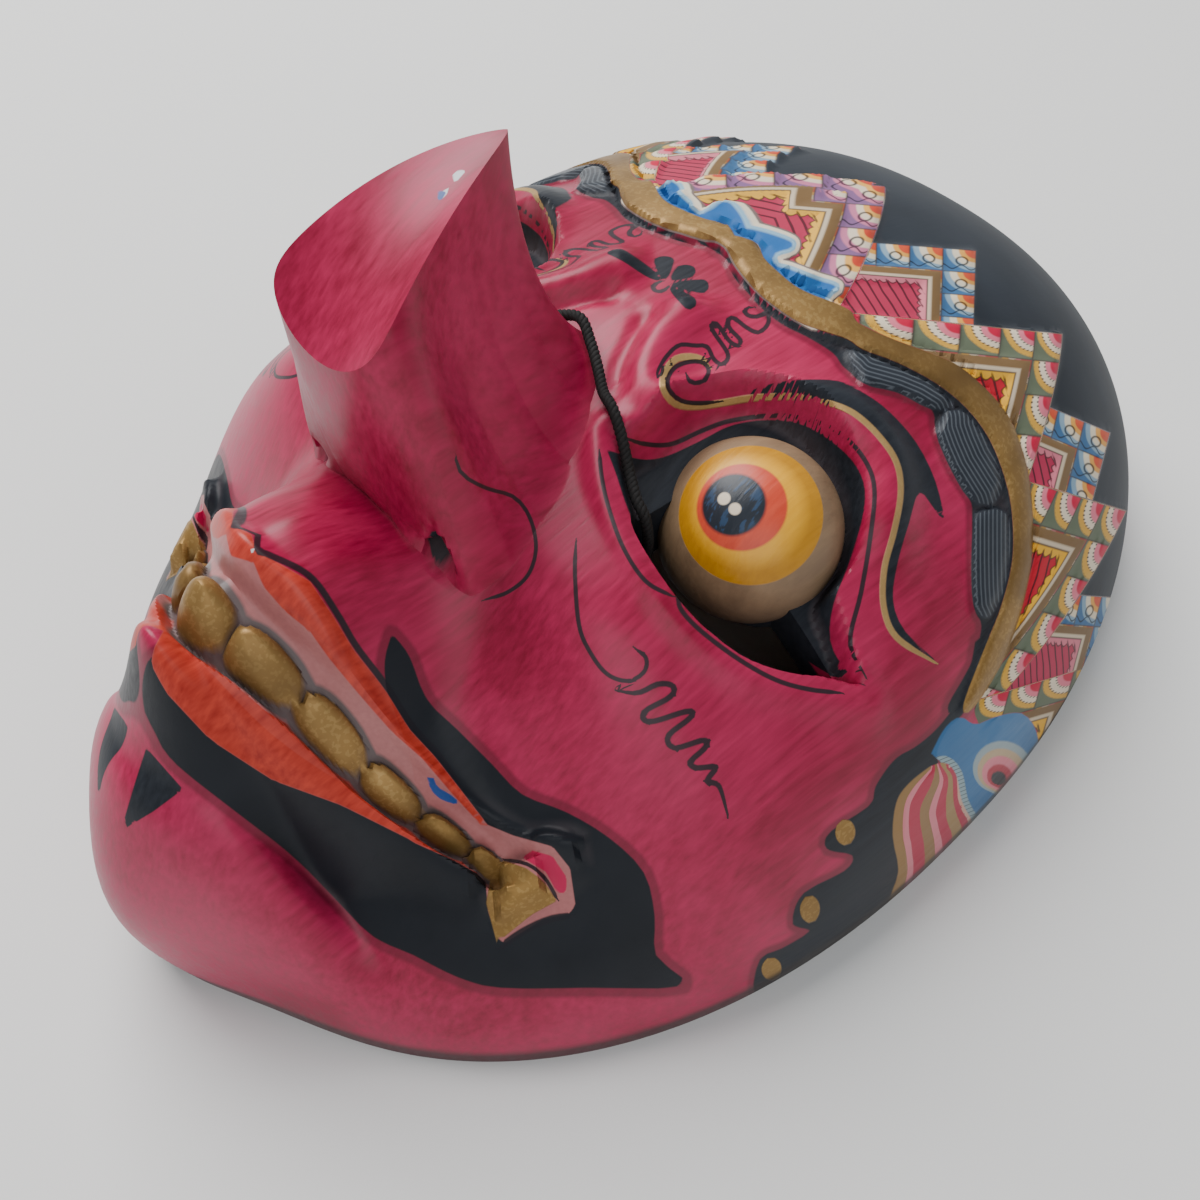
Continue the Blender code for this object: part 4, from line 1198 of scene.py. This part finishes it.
def painted_material(name, with_headdress):
    """Crimson lacquer with all the painted ornament of the face, and with the headdress where it is wanted."""
    material, g, shader = new_material(name)
    lacquer = g.use(lacquer_group())
    stroke = stroke_group()
    coords = g.put("ShaderNodeTexCoord")
    object_place = coords.outputs["Object"]
    flat = g.put("ShaderNodeUVMap", uv_map="drawing").outputs[0]
    place = g.put("ShaderNodeVectorMath", {0: flat, "Scale": DRAWING}, operation='SCALE').outputs[0]
    streak, patch = lacquer["Streak"], lacquer["Patch"]
    spread = g.math('MULTIPLY_ADD', g.math('SUBTRACT', streak, 0.5), 1.9, 0.5, clamp=True)
    colour = g.mix(spread, (0.20, 0.002, 0.022), (0.37, 0.008, 0.058))
    colour = g.mix(g.math('MULTIPLY', g.between(patch, 0.52, 0.9, 0.2), 0.30), colour, (0.50, 0.035, 0.11))
    colour = g.mix(g.math('MULTIPLY', g.between(patch, 0.0, 0.42, 0.16), 0.45), colour, (0.17, 0.002, 0.018))
    black = g.mix(patch, (0.004, 0.0045, 0.006), (0.020, 0.023, 0.029))
    worn_black = g.mix(g.math('MULTIPLY', spread, 0.45), black, (0.036, 0.041, 0.05))
    gold = g.mix(g.math('MULTIPLY_ADD', g.math('SUBTRACT', patch, 0.5), 2.6, 0.5, clamp=True),
                 (0.115, 0.062, 0.018), (0.36, 0.21, 0.065))
    fleck = g.both(g.edge(g.math('SUBTRACT', lacquer["Speck"], 0.56), 0.06),
                   g.edge(g.math('SUBTRACT', patch, 0.45), 0.2))
    gold = g.mix(g.math('MULTIPLY', fleck, 0.22), gold, (0.50, 0.34, 0.13))
    wine = (0.105, 0.004, 0.016)

    def cover(base, mask, shade):
        return g.mix(mask, base, shade)

    hair, moustache = g.value("hair"), g.value("moustache")
    border = g.math('MAXIMUM', g.edge(g.math('ADD', hair, 6.0), 3.5),
                    g.edge(g.math('ADD', moustache, 9.0), 4.0))
    colour = cover(colour, g.math('MULTIPLY', border, 0.62), wine)
    colour = cover(colour, g.edge(hair, 1.5), worn_black)
    lock = g.value("lock")
    between_strands = g.math('PINGPONG', g.math('DIVIDE', g.value("strand"), 4.2), 0.5)
    strands = g.edge(g.math('SUBTRACT', 0.16, between_strands), 0.2)
    strands = g.both(strands, g.edge(g.math('SUBTRACT', lock, 1.5), 1.0))
    colour = cover(colour, g.edge(lock, 1.2), g.mix(0.5, worn_black, (0.03, 0.035, 0.045)))
    colour = cover(colour, g.math('MULTIPLY', strands, 0.6), (0.11, 0.125, 0.14))
    colour = cover(colour, g.edge(moustache, 1.4), black)
    colour = cover(colour, g.edge(g.value("dark"), 1.2), worn_black)
    gilt = painted_lines(g, stroke, "gilt")

    mouth = g.edge(g.value("mouth"), 1.2)
    gum = g.mix(patch, (0.30, 0.085, 0.085), (0.50, 0.21, 0.20))
    gum = g.mix(g.math('MULTIPLY', lacquer["Speck"], 0.4), gum, (0.20, 0.055, 0.06))
    lip = g.mix(spread, (0.30, 0.018, 0.012), (0.52, 0.052, 0.030))
    tooth = g.value("tooth")
    within_mouth = g.both(mouth, g.edge(g.math('ADD', tooth, 0.9), 0.4))
    colour = cover(colour, mouth, gum)
    colour = cover(colour, g.edge(g.value("lips"), 1.5), lip)
    colour = cover(colour, g.both(within_mouth, 0.9), (0.075, 0.072, 0.070))
    colour = cover(colour, g.edge(tooth, 0.35), gold)
    colour = cover(colour, g.edge(g.value("fang_patch"), 1.2), (0.45, 0.015, 0.07))
    colour = cover(colour, g.edge(g.value("fang"), 1.2), gold)

    sheath = g.value("sheath")
    colour = cover(colour, g.edge(sheath, 1.5), g.mix(patch, (0.010, 0.075, 0.19), (0.03, 0.15, 0.32)))
    feather = g.value("feather")
    on_sheath = g.edge(sheath, 1.5)
    for reach, shade in ((27.0, (0.24, 0.30, 0.31)), (22.0, (0.42, 0.30, 0.17)), (17.0, (0.60, 0.16, 0.20)),
                         (11.5, (0.36, 0.010, 0.030)), (7.0, (0.012, 0.012, 0.014))):
        colour = cover(colour, g.both(on_sheath, g.edge(g.math('SUBTRACT', reach, feather), 1.4)), shade)
    ear = g.value("ear")
    ticks = g.math('PINGPONG', g.math('MULTIPLY', g.vector('DOT_PRODUCT', place, (0.1, 0.25, 0)), 1.0), 0.5)
    outline = g.mix(g.edge(g.math('SUBTRACT', 0.1, ticks), 0.08), (0.22, 0.31, 0.33), (0.06, 0.08, 0.09))
    colour = cover(colour, g.both(g.edge(g.math('ADD', ear, 6.5), 1.4), on_sheath), outline)
    ramp = g.put("ShaderNodeValToRGB", {0: g.math('MULTIPLY_ADD', g.math('SUBTRACT', patch, 0.5), 0.10,
                                                  g.value("stripe"))})
    ramp.color_ramp.interpolation = 'CONSTANT'
    stripes = [(0.0, (0.26, 0.15, 0.055)), (0.13, (0.58, 0.17, 0.20)), (0.21, (0.38, 0.014, 0.045)),
               (0.36, (0.24, 0.13, 0.045)), (0.49, (0.58, 0.17, 0.20)), (0.58, (0.38, 0.014, 0.045)),
               (0.71, (0.28, 0.17, 0.06)), (0.84, (0.36, 0.012, 0.04)), (0.94, (0.52, 0.30, 0.22))]
    while len(ramp.color_ramp.elements) < len(stripes):
        ramp.color_ramp.elements.new(0.5)
    for element, (start, shade) in zip(ramp.color_ramp.elements, stripes):
        element.position = start
        element.color = (*shade, 1)
    colour = cover(colour, g.edge(ear, 1.4), ramp.outputs[0])

    head = g.edge(g.value("head"), 1.2)
    if with_headdress:
        ornament = headdress_paint(g, place, lacquer)
    else:
        ornament = g.mix(patch, (0.006, 0.008, 0.011), (0.040, 0.047, 0.058))
    outside = g.math('SUBTRACT', 1.0, g.math('MAXIMUM', on_sheath, g.edge(ear, 1.4)))
    outside = g.both(outside, g.math('SUBTRACT', 1.0, g.edge(hair, 1.5)))
    on_head = g.both(head, outside)
    colour = cover(colour, on_head, ornament)
    cloud = g.value("cloud")
    colour = cover(colour, g.edge(g.math('ADD', cloud, 1.6), 1.0), (0.16, 0.12, 0.11))
    colour = cover(colour, g.edge(cloud, 1.0), (0.66, 0.57, 0.44))
    colour = cover(colour, g.edge(g.math('SUBTRACT', cloud, 3.4), 1.4), (0.22, 0.38, 0.50))
    colour = cover(colour, g.edge(g.math('SUBTRACT', cloud, 7.2), 2.4), (0.020, 0.11, 0.32))
    gold_area = g.edge(g.value("gold"), 1.1)
    colour = cover(colour, gold_area, gold)
    colour = cover(colour, gilt, g.mix(0.4, gold, (0.62, 0.40, 0.17)))
    lines = painted_lines(g, stroke, "black")
    colour = cover(colour, g.math('MULTIPLY', lines, 0.95), (0.012, 0.011, 0.015))
    colour = cover(colour, g.edge(g.value("white_chip"), 1.0), (0.50, 0.52, 0.53))
    colour = cover(colour, g.edge(g.value("blue_chip"), 1.0), (0.02, 0.06, 0.22))

    crease = g.value("crease")
    grime = g.math('MULTIPLY', g.math('SUBTRACT', crease, 0.035), 6.0, clamp=True)
    dusty = g.both(grime, g.math('MULTIPLY_ADD', patch, 1.3, -0.2, clamp=True))
    colour = cover(colour, g.math('MULTIPLY', dusty, 0.34), (0.30, 0.20, 0.20))
    low = g.put("ShaderNodeSeparateXYZ", {0: object_place}).outputs[2]
    rim = g.edge(g.math('SUBTRACT', 0.0032, low), 0.002)
    colour = cover(colour, g.math('MULTIPLY', rim, 0.85), (0.026, 0.020, 0.018))

    g.feed(shader.inputs["Base Color"], colour)

    metal = g.math('MAXIMUM', g.math('MAXIMUM', gold_area, gilt), g.edge(tooth, 0.35))
    metal = g.math('MAXIMUM', metal, g.edge(g.value("fang"), 1.2))
    g.feed(shader.inputs["Metallic"], g.math('MULTIPLY', metal, 0.45))
    rough = g.math('MULTIPLY_ADD', streak, 0.22, 0.26)
    rough = g.math('MULTIPLY_ADD', dusty, 0.35, rough)
    rough = g.blend(on_head, rough, 0.55)
    rough = g.blend(metal, rough, 0.46)
    g.feed(shader.inputs["Roughness"], rough)
    inked = g.math('MAXIMUM', g.math('MAXIMUM', g.edge(g.value("dark"), 1.2), g.edge(hair, 1.5)),
                   g.math('MAXIMUM', g.edge(moustache, 1.4), on_head))
    g.feed(shader.inputs["Specular IOR Level"], g.blend(inked, 0.30, 0.13))
    height = g.math('MULTIPLY', streak, 0.12)
    height = g.math('MULTIPLY_ADD', g.both(metal, patch), 0.9, height)
    bump = g.put("ShaderNodeBump", {"Strength": 0.5, "Distance": 0.0004, "Height": height})
    g.feed(shader.inputs["Normal"], bump.outputs[0])
    return material


def view_axis(right, up):
    """The direction out of an eyeball that shows this share of its radius right and up of its middle."""
    front = math.sqrt(max(1 - right ** 2 - up ** 2, 0))
    return tuple(right * VIEW_RIGHT + up * VIEW_UP - front * VIEW_FORWARD)


def eyeball_material():
    """Bare wooden eyeball with a painted iris, pupil and two small lights."""
    material, g, shader = new_material("painted_eyeball")
    lacquer = g.use(lacquer_group())
    wood = g.use(wood_group(), {"Light": (0.27, 0.17, 0.092, 1), "Dark": (0.10, 0.057, 0.030, 1)})
    place = g.put("ShaderNodeTexCoord").outputs["Object"]
    parts = g.put("ShaderNodeSeparateXYZ", {0: place}).outputs
    folded = g.put("ShaderNodeCombineXYZ", {0: g.math('ABSOLUTE', parts[0]), 1: parts[1],
                                            2: parts[2]}).outputs[0]
    centre = (EYE_X * X_UNIT, (EYE_Y + PLAN_SHIFT) * Y_UNIT, EYE_Z * Z_UNIT)
    out = g.vector('NORMALIZE', g.vector('SUBTRACT', folded, centre))
    patch, streak = lacquer["Patch"], lacquer["Streak"]
    colour = g.mix(g.math('MULTIPLY', patch, 0.3), wood["Colour"], (0.30, 0.21, 0.125))
    # Painted shade: the side of each eyeball that faces down, back into its socket, is darkened
    low = g.math('MULTIPLY_ADD', g.vector('DOT_PRODUCT', out, (0, 0, 1)), -1.2, 0.25, clamp=True)
    colour = g.mix(g.math('MULTIPLY', low, 0.7), colour, (0.10, 0.07, 0.05))

    def disc(right, up, reach, softness=0.012):
        facing = g.vector('DOT_PRODUCT', out, view_axis(right, up))
        waver = g.math('MULTIPLY_ADD', g.math('SUBTRACT', patch, 0.5), 0.012, facing)
        return g.edge(g.math('SUBTRACT', waver, math.cos(math.asin(reach))), softness)

    colour = g.mix(disc(-0.10, 0.175, 0.73), colour, g.mix(streak, (0.36, 0.15, 0.004), (0.52, 0.24, 0.008)))
    colour = g.mix(disc(-0.12, 0.19, 0.56, 0.10), colour, g.mix(streak, (0.62, 0.28, 0.010), (0.74, 0.38, 0.020)))
    colour = g.mix(disc(-0.20, 0.206, 0.455), colour, g.mix(streak, (0.42, 0.035, 0.015), (0.60, 0.075, 0.035)))
    colour = g.mix(disc(-0.275, 0.216, 0.325), colour, g.mix(patch, (0.006, 0.008, 0.012), (0.022, 0.028, 0.038)))
    blue = g.both(disc(-0.275, 0.216, 0.30), g.between(streak, 0.56, 0.9, 0.06))
    colour = g.mix(g.math('MULTIPLY', blue, 0.35), colour, (0.03, 0.09, 0.20))
    lights = g.math('MAXIMUM', disc(-0.36, 0.268, 0.058, 0.0012), disc(-0.258, 0.155, 0.058, 0.0012))
    colour = g.mix(lights, colour, (0.66, 0.56, 0.42))
    painted = disc(-0.10, 0.175, 0.73)
    g.feed(shader.inputs["Base Color"], colour)
    g.feed(shader.inputs["Roughness"], g.blend(painted, g.math('MULTIPLY_ADD', patch, 0.2, 0.45),
                                               g.math('MULTIPLY_ADD', streak, 0.2, 0.26)))
    shader.inputs["Specular IOR Level"].default_value = 0.35
    height = g.blend(painted, g.math('MULTIPLY', wood["Grain"], 0.6), g.math('MULTIPLY', streak, 0.35))
    bump = g.put("ShaderNodeBump", {"Strength": 0.45, "Distance": 0.0004, "Height": height})
    g.feed(shader.inputs["Normal"], bump.outputs[0])
    return material


def cord_material():
    """Matt black waxed cotton cord, a little grey on the raised fibres."""
    material, g, shader = new_material("black_cord")
    place = g.put("ShaderNodeTexCoord").outputs["Object"]
    along = g.put("ShaderNodeMapping", {"Vector": place, "Scale": (2600, 2600, 500)}).outputs[0]
    fibre = g.noise(along, 1.0, 3.0)
    broad = g.noise(place, 240.0, 2.0)
    colour = g.mix(fibre, (0.003, 0.003, 0.0035), (0.018, 0.017, 0.016))
    g.feed(shader.inputs["Base Color"], g.mix(g.math('MULTIPLY', broad, 0.25), colour, (0.04, 0.037, 0.035)))
    g.feed(shader.inputs["Roughness"], g.math('MULTIPLY_ADD', fibre, 0.2, 0.62))
    shader.inputs["Specular IOR Level"].default_value = 0.15
    bump = g.put("ShaderNodeBump", {"Strength": 0.6, "Distance": 0.0002, "Height": fibre})
    g.feed(shader.inputs["Normal"], bump.outputs[0])
    return material


def wood_above(x, y):
    """The carved surface over a point of the plan, in metres."""
    return to_metres(np.array([x]), np.array([y]), plain_height(np.array([x]), np.array([y])))[0]


def wood_behind(x, y):
    """The surface of the hollow under a point of the plan, in metres."""
    return to_metres(np.array([x]), np.array([y]), hollow_height(np.array([x]), np.array([y])))[0]


def cord_route():
    """Route of the cord's middle: over the bridge of the nose, down both slots and across behind it."""
    clear = CORD_DIAMETER / 2 + CORD_GAP
    half = []
    for x, y, lift in ((0, -14, 2.6), (3.5, -15.3, 1.5), (7, -17.2, 0.5), (10.2, -19.2, 0.1),
                       (13.4, -20.6, 0.3), (16.4, -21.8, 1.8), (19.4, -23.2, 2.2)):
        half.append(wood_above(x, y) + (0, 0, 1.2 * clear + lift * Z_UNIT))
    outer = wood_above(*SLOT_END)
    inner = wood_behind(*SLOT_END)
    for along, depth in ((0, 2.9), (1.5, 1.8), (2.2, -0.8)):
        half.append(outer + (along * clear, -0.2 * along * clear, depth * clear))
    half.append((outer + inner) / 2 + (2.0 * clear, -0.4 * clear, 0))
    for along, depth in ((1.9, 0.3), (1.1, -1.0), (-0.5, -1.7)):
        half.append(inner + (along * clear, -0.2 * along * clear, depth * clear))
    for x, y in ((16, -23.5), (9, -22.2)):
        half.append(wood_behind(x, y) - (0, 0, 1.7 * clear))
    last = wood_behind(4, -21.6) - (0, 0, 1.7 * clear)
    half.append(np.array([KNOT_LENGTH / 2 + CORD_GAP, last[1], last[2]]))
    other = [point * (-1, 1, 1) for point in half[:0:-1]]
    return other + half


def knot_route():
    """Route of the cord through its knot: a short coil with an end tucked through it."""
    route = cord_route()
    middle = (route[0] + route[-1]) / 2
    points = [route[-1] - middle + (0.0004, 0, 0)]
    for turn in np.linspace(0, 3.4, 40):
        points.append(np.array((0.0022 - 0.0013 * turn, 0.00105 * math.cos(turn * 2 * math.pi),
                                0.00095 * math.sin(turn * 2 * math.pi))))
    points.append(route[0] - middle - (0.0004, 0, 0))
    return [point + middle for point in points]


def twisted_cord_group(material):
    """Geometry nodes that lay twisted strands along a curve."""
    group = bpy.data.node_groups.new("Twisted cord", 'GeometryNodeTree')
    face = group.interface
    face.new_socket(name="Geometry", in_out='INPUT', socket_type='NodeSocketGeometry')
    for label, kind, default in (("Strands", 'NodeSocketInt', 3), ("Steps", 'NodeSocketInt', 300),
                                 ("Turns", FLOAT, 40.0), ("Strand radius", FLOAT, 0.0004),
                                 ("Lay radius", FLOAT, 0.0004)):
        face.new_socket(name=label, in_out='INPUT', socket_type=kind).default_value = default
    face.new_socket(name="Geometry", in_out='OUTPUT', socket_type='NodeSocketGeometry')
    g = Graph(group)
    given = g.put("NodeGroupInput").outputs
    even = g.put("GeometryNodeResampleCurve", {"Curve": given["Geometry"], "Count": given["Steps"]})
    copies = g.put("GeometryNodeDuplicateElements", {"Geometry": even.outputs[0], "Amount": given["Strands"]},
                   domain='SPLINE')
    along = g.put("GeometryNodeSplineParameter").outputs["Factor"]
    phase = g.math('DIVIDE', copies.outputs["Duplicate Index"], given["Strands"])
    turn = g.math('MULTIPLY', g.math('MULTIPLY_ADD', along, given["Turns"], phase), 2 * math.pi)
    normal = g.put("GeometryNodeInputNormal").outputs[0]
    tangent = g.put("GeometryNodeInputTangent").outputs[0]
    other = g.vector('CROSS_PRODUCT', tangent, normal)

    def scaled(direction, size):
        return g.put("ShaderNodeVectorMath", {0: direction, "Scale": size}, operation='SCALE').outputs[0]

    offset = g.vector('ADD', scaled(normal, g.math('COSINE', turn)), scaled(other, g.math('SINE', turn)))
    moved = g.put("GeometryNodeSetPosition", {"Geometry": copies.outputs[0],
                                              "Offset": scaled(offset, given["Lay radius"])})
    ring = g.put("GeometryNodeCurvePrimitiveCircle", {"Resolution": 8, "Radius": given["Strand radius"]})
    tube = g.put("GeometryNodeCurveToMesh", {"Curve": moved.outputs[0], "Profile Curve": ring.outputs[0],
                                             "Fill Caps": True})
    real = g.put("GeometryNodeRealizeInstances", {0: tube.outputs[0]})
    coloured = g.put("GeometryNodeSetMaterial", {0: real.outputs[0], "Material": material})
    g.put("NodeGroupOutput", {0: coloured.outputs[0]})
    return group


def twisted_piece(name, points, turns, steps, material, settings):
    """One piece of twisted cord along a route, as a plain mesh."""
    curve = bpy.data.curves.new(name, 'CURVE')
    curve.dimensions = '3D'
    run = curve.splines.new('POLY')
    run.points.add(len(points) - 1)
    for target, point in zip(run.points, points):
        target.co = (*point, 1)
    item = new_object(name, curve)
    layers = item.modifiers.new("twist", 'NODES')
    layers.node_group = twisted_cord_group(material)
    wanted = {"Strands": settings.strands, "Turns": turns, "Steps": steps,
              "Strand radius": CORD_DIAMETER * 0.27, "Lay radius": CORD_DIAMETER * 0.23}
    for socket in layers.node_group.interface.items_tree:
        if socket.in_out == 'INPUT' and socket.name in wanted:
            layers[socket.identifier] = wanted[socket.name]
    item.update_tag()
    piece = plain_mesh(item)
    piece.name = name
    piece.data.materials.clear()
    piece.data.materials.append(material)
    for face in piece.data.polygons:
        face.use_smooth = True
    return piece


class MaskSettings(bpy.types.PropertyGroup):
    """How finely the mask is carved and its cord is laid."""
    lines: bpy.props.IntProperty(
        name="Lines", description="Lines of the net round the nose", default=420, min=96, max=460)
    face_steps: bpy.props.IntProperty(
        name="Face steps", description="Rings from the nose to the rim", default=186, min=40, max=190)
    wall_steps: bpy.props.IntProperty(
        name="Nose steps", description="Rings down the sides of the nose", default=24, min=8, max=48)
    sharp_angle: bpy.props.FloatProperty(name="Sharp angle", description="Edges sharper than this stay crisp",
                                         default=math.radians(38), subtype='ANGLE')
    eye_segments: bpy.props.IntProperty(name="Eyeball segments", description="Segments round each eyeball",
                                        default=96, min=24, max=160)
    strands: bpy.props.IntProperty(
        name="Strands", description="Strands that the cord is twisted from", default=3, min=2, max=5)


class StageSettings(bpy.types.PropertyGroup):
    """Floor and light round the mask."""
    floor_colour: bpy.props.FloatVectorProperty(name="Floor colour", description="Colour of the plain floor",
                                                subtype='COLOR', size=3, default=(0.70, 0.69, 0.67))
    light_power: bpy.props.FloatProperty(name="Light power", description="Power of the large soft light",
                                         default=19.0, min=0, unit='POWER')
    sky_strength: bpy.props.FloatProperty(name="Sky strength", description="Strength of the even light",
                                          default=0.42, min=0)


class DANCEMASK_OT_carving(bpy.types.Operator):
    """Carve and paint the mask."""
    bl_idname = "dancemask.carving"
    bl_label = "Carve the mask"

    def execute(self, context):
        settings = context.scene.dance_mask
        angle = line_angles(settings.lines)
        groups = ((nose_rings(angle, 5, settings.wall_steps), NOSE),
                  (face_rings(angle, settings.face_steps), FACE), (hollow_rings(angle, 17), HOLLOW))
        rings, kinds = [], []
        for group, kind in groups:
            for x, y, z in group:
                rings.append(to_metres(x, y, z))
                kinds.append(kind)
        mask = closed_net("carved_mask", rings, kinds)
        cut_slots(mask)
        open_nostrils(mask.data)
        keep_in_box(mask.data, "mask")
        mask.data.polygons.foreach_set("use_smooth", np.ones(len(mask.data.polygons), bool))
        mask.data.set_sharp_from_angle(angle=settings.sharp_angle)
        mask.data.materials.clear()
        for material in (painted_material("painted_face", False), painted_material("painted_headdress", True),
                         hollow_material()):
            mask.data.materials.append(material)
        paint_values(mask)
        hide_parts("mask")
        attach(mask, "root")
        return {'FINISHED'}


class DANCEMASK_OT_eyeballs(bpy.types.Operator):
    """Make and paint both eyeballs."""
    bl_idname = "dancemask.eyeballs"
    bl_label = "Make the eyeballs"

    def execute(self, context):
        count = context.scene.dance_mask.eye_segments
        material = eyeball_material()
        for side, name in ((1, "eyeball_near"), (-1, "eyeball_far")):
            net = bmesh.new()
            bmesh.ops.create_uvsphere(net, u_segments=count, v_segments=count * 2 // 3, radius=EYE_RADIUS)
            place = Vector((side * EYE_X * X_UNIT, (EYE_Y + PLAN_SHIFT) * Y_UNIT, EYE_Z * Z_UNIT))
            bmesh.ops.translate(net, verts=net.verts, vec=place)
            mesh = bpy.data.meshes.new(name)
            net.to_mesh(mesh)
            net.free()
            ball = new_object(name, mesh)
            for face in mesh.polygons:
                face.use_smooth = True
            mesh.materials.append(material)
            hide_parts("mask")
            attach(ball, "root")
        return {'FINISHED'}


class DANCEMASK_OT_cord(bpy.types.Operator):
    """Lay the twisted cord round the bridge of the nose and tie its knot."""
    bl_idname = "dancemask.cord"
    bl_label = "Lay the cord"

    def execute(self, context):
        settings = context.scene.dance_mask
        material = cord_material()
        route = smooth_path(cord_route(), 4)
        cord = twisted_piece("twisted_cord", route, 62.0, 900, material, settings)
        knot = twisted_piece("tied_knot", knot_route(), 12.0, 240, material, settings)
        for piece, node in ((cord, "bridge_cord"), (knot, "cord_knot")):
            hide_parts(node)
            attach(piece, "root")
        return {'FINISHED'}


class DANCEMASK_OT_stage(bpy.types.Operator):
    """Set up the floor, the lights and the camera."""
    bl_idname = "dancemask.stage"
    bl_label = "Set the stage"

    def execute(self, context):
        scene = context.scene
        settings = scene.dance_stage
        floor_mesh = bpy.data.meshes.new("floor")
        half = 3.0
        floor_mesh.from_pydata([(-half, -half, 0), (half, -half, 0), (half, half, 0), (-half, half, 0)], [],
                               [(0, 1, 2, 3)])
        floor = new_object("floor", floor_mesh)
        material, g, shader = new_material("floor")
        place = g.put("ShaderNodeTexCoord").outputs["Object"]
        tone = g.mix(g.noise(place, 9.0, 3.0), tuple(0.96 * value for value in settings.floor_colour),
                     tuple(settings.floor_colour))
        g.feed(shader.inputs["Base Color"], tone)
        shader.inputs["Roughness"].default_value = 0.85
        floor_mesh.materials.append(material)
        for name, spot, size, power in (("soft_light", (-0.55, 0.10, 0.85), 0.8, settings.light_power),
                                        ("fill_light", (0.7, -0.5, 0.6), 0.9, settings.light_power * 0.25)):
            light = bpy.data.lights.new(name, 'AREA')
            light.energy = power
            light.size = size
            item = new_object(name, light)
            item.location = spot
            item.rotation_euler = (-Vector(spot) + Vector((0, 0, 0.04))).to_track_quat('-Z', 'Y').to_euler()
        world = bpy.data.worlds.new("sky")
        world.use_nodes = True
        background = world.node_tree.nodes["Background"]
        background.inputs["Color"].default_value = (0.86, 0.92, 1.0, 1)
        background.inputs["Strength"].default_value = settings.sky_strength
        scene.world = world
        camera_data = bpy.data.cameras.new("photo_camera")
        camera_data.lens = LENS
        camera_data.sensor_width = 36
        camera_data.clip_start = 0.01
        camera = new_object("photo_camera", camera_data)
        camera.location = VIEW_FROM
        camera.rotation_euler = Vector(VIEW_FORWARD).to_track_quat('-Z', 'Y').to_euler()
        scene.camera = camera
        return {'FINISHED'}


class DANCEMASK_PT_panel(bpy.types.Panel):
    """Lists the steps that build the mask."""
    bl_idname = "DANCEMASK_PT_panel"
    bl_label = "Dance mask"
    bl_space_type = 'VIEW_3D'
    bl_region_type = 'UI'
    bl_category = "Dance mask"

    def draw(self, context):
        layout = self.layout
        for settings in (context.scene.dance_mask, context.scene.dance_stage):
            for name in settings.__annotations__:
                layout.prop(settings, name)
        for step in STEPS:
            layout.operator(step.bl_idname)


STEPS = (DANCEMASK_OT_carving, DANCEMASK_OT_eyeballs, DANCEMASK_OT_cord, DANCEMASK_OT_stage)
CLASSES = (MaskSettings, StageSettings, *STEPS, DANCEMASK_PT_panel)


def register():
    for item in CLASSES:
        bpy.utils.register_class(item)
    bpy.types.Scene.dance_mask = bpy.props.PointerProperty(type=MaskSettings)
    bpy.types.Scene.dance_stage = bpy.props.PointerProperty(type=StageSettings)


def unregister():
    del bpy.types.Scene.dance_stage
    del bpy.types.Scene.dance_mask
    for item in reversed(CLASSES):
        bpy.utils.unregister_class(item)


def main():
    register()
    bpy.ops.dancemask.carving()
    bpy.ops.dancemask.eyeballs()
    bpy.ops.dancemask.cord()
    bpy.ops.dancemask.stage()


if __name__ == "__main__":
    main()
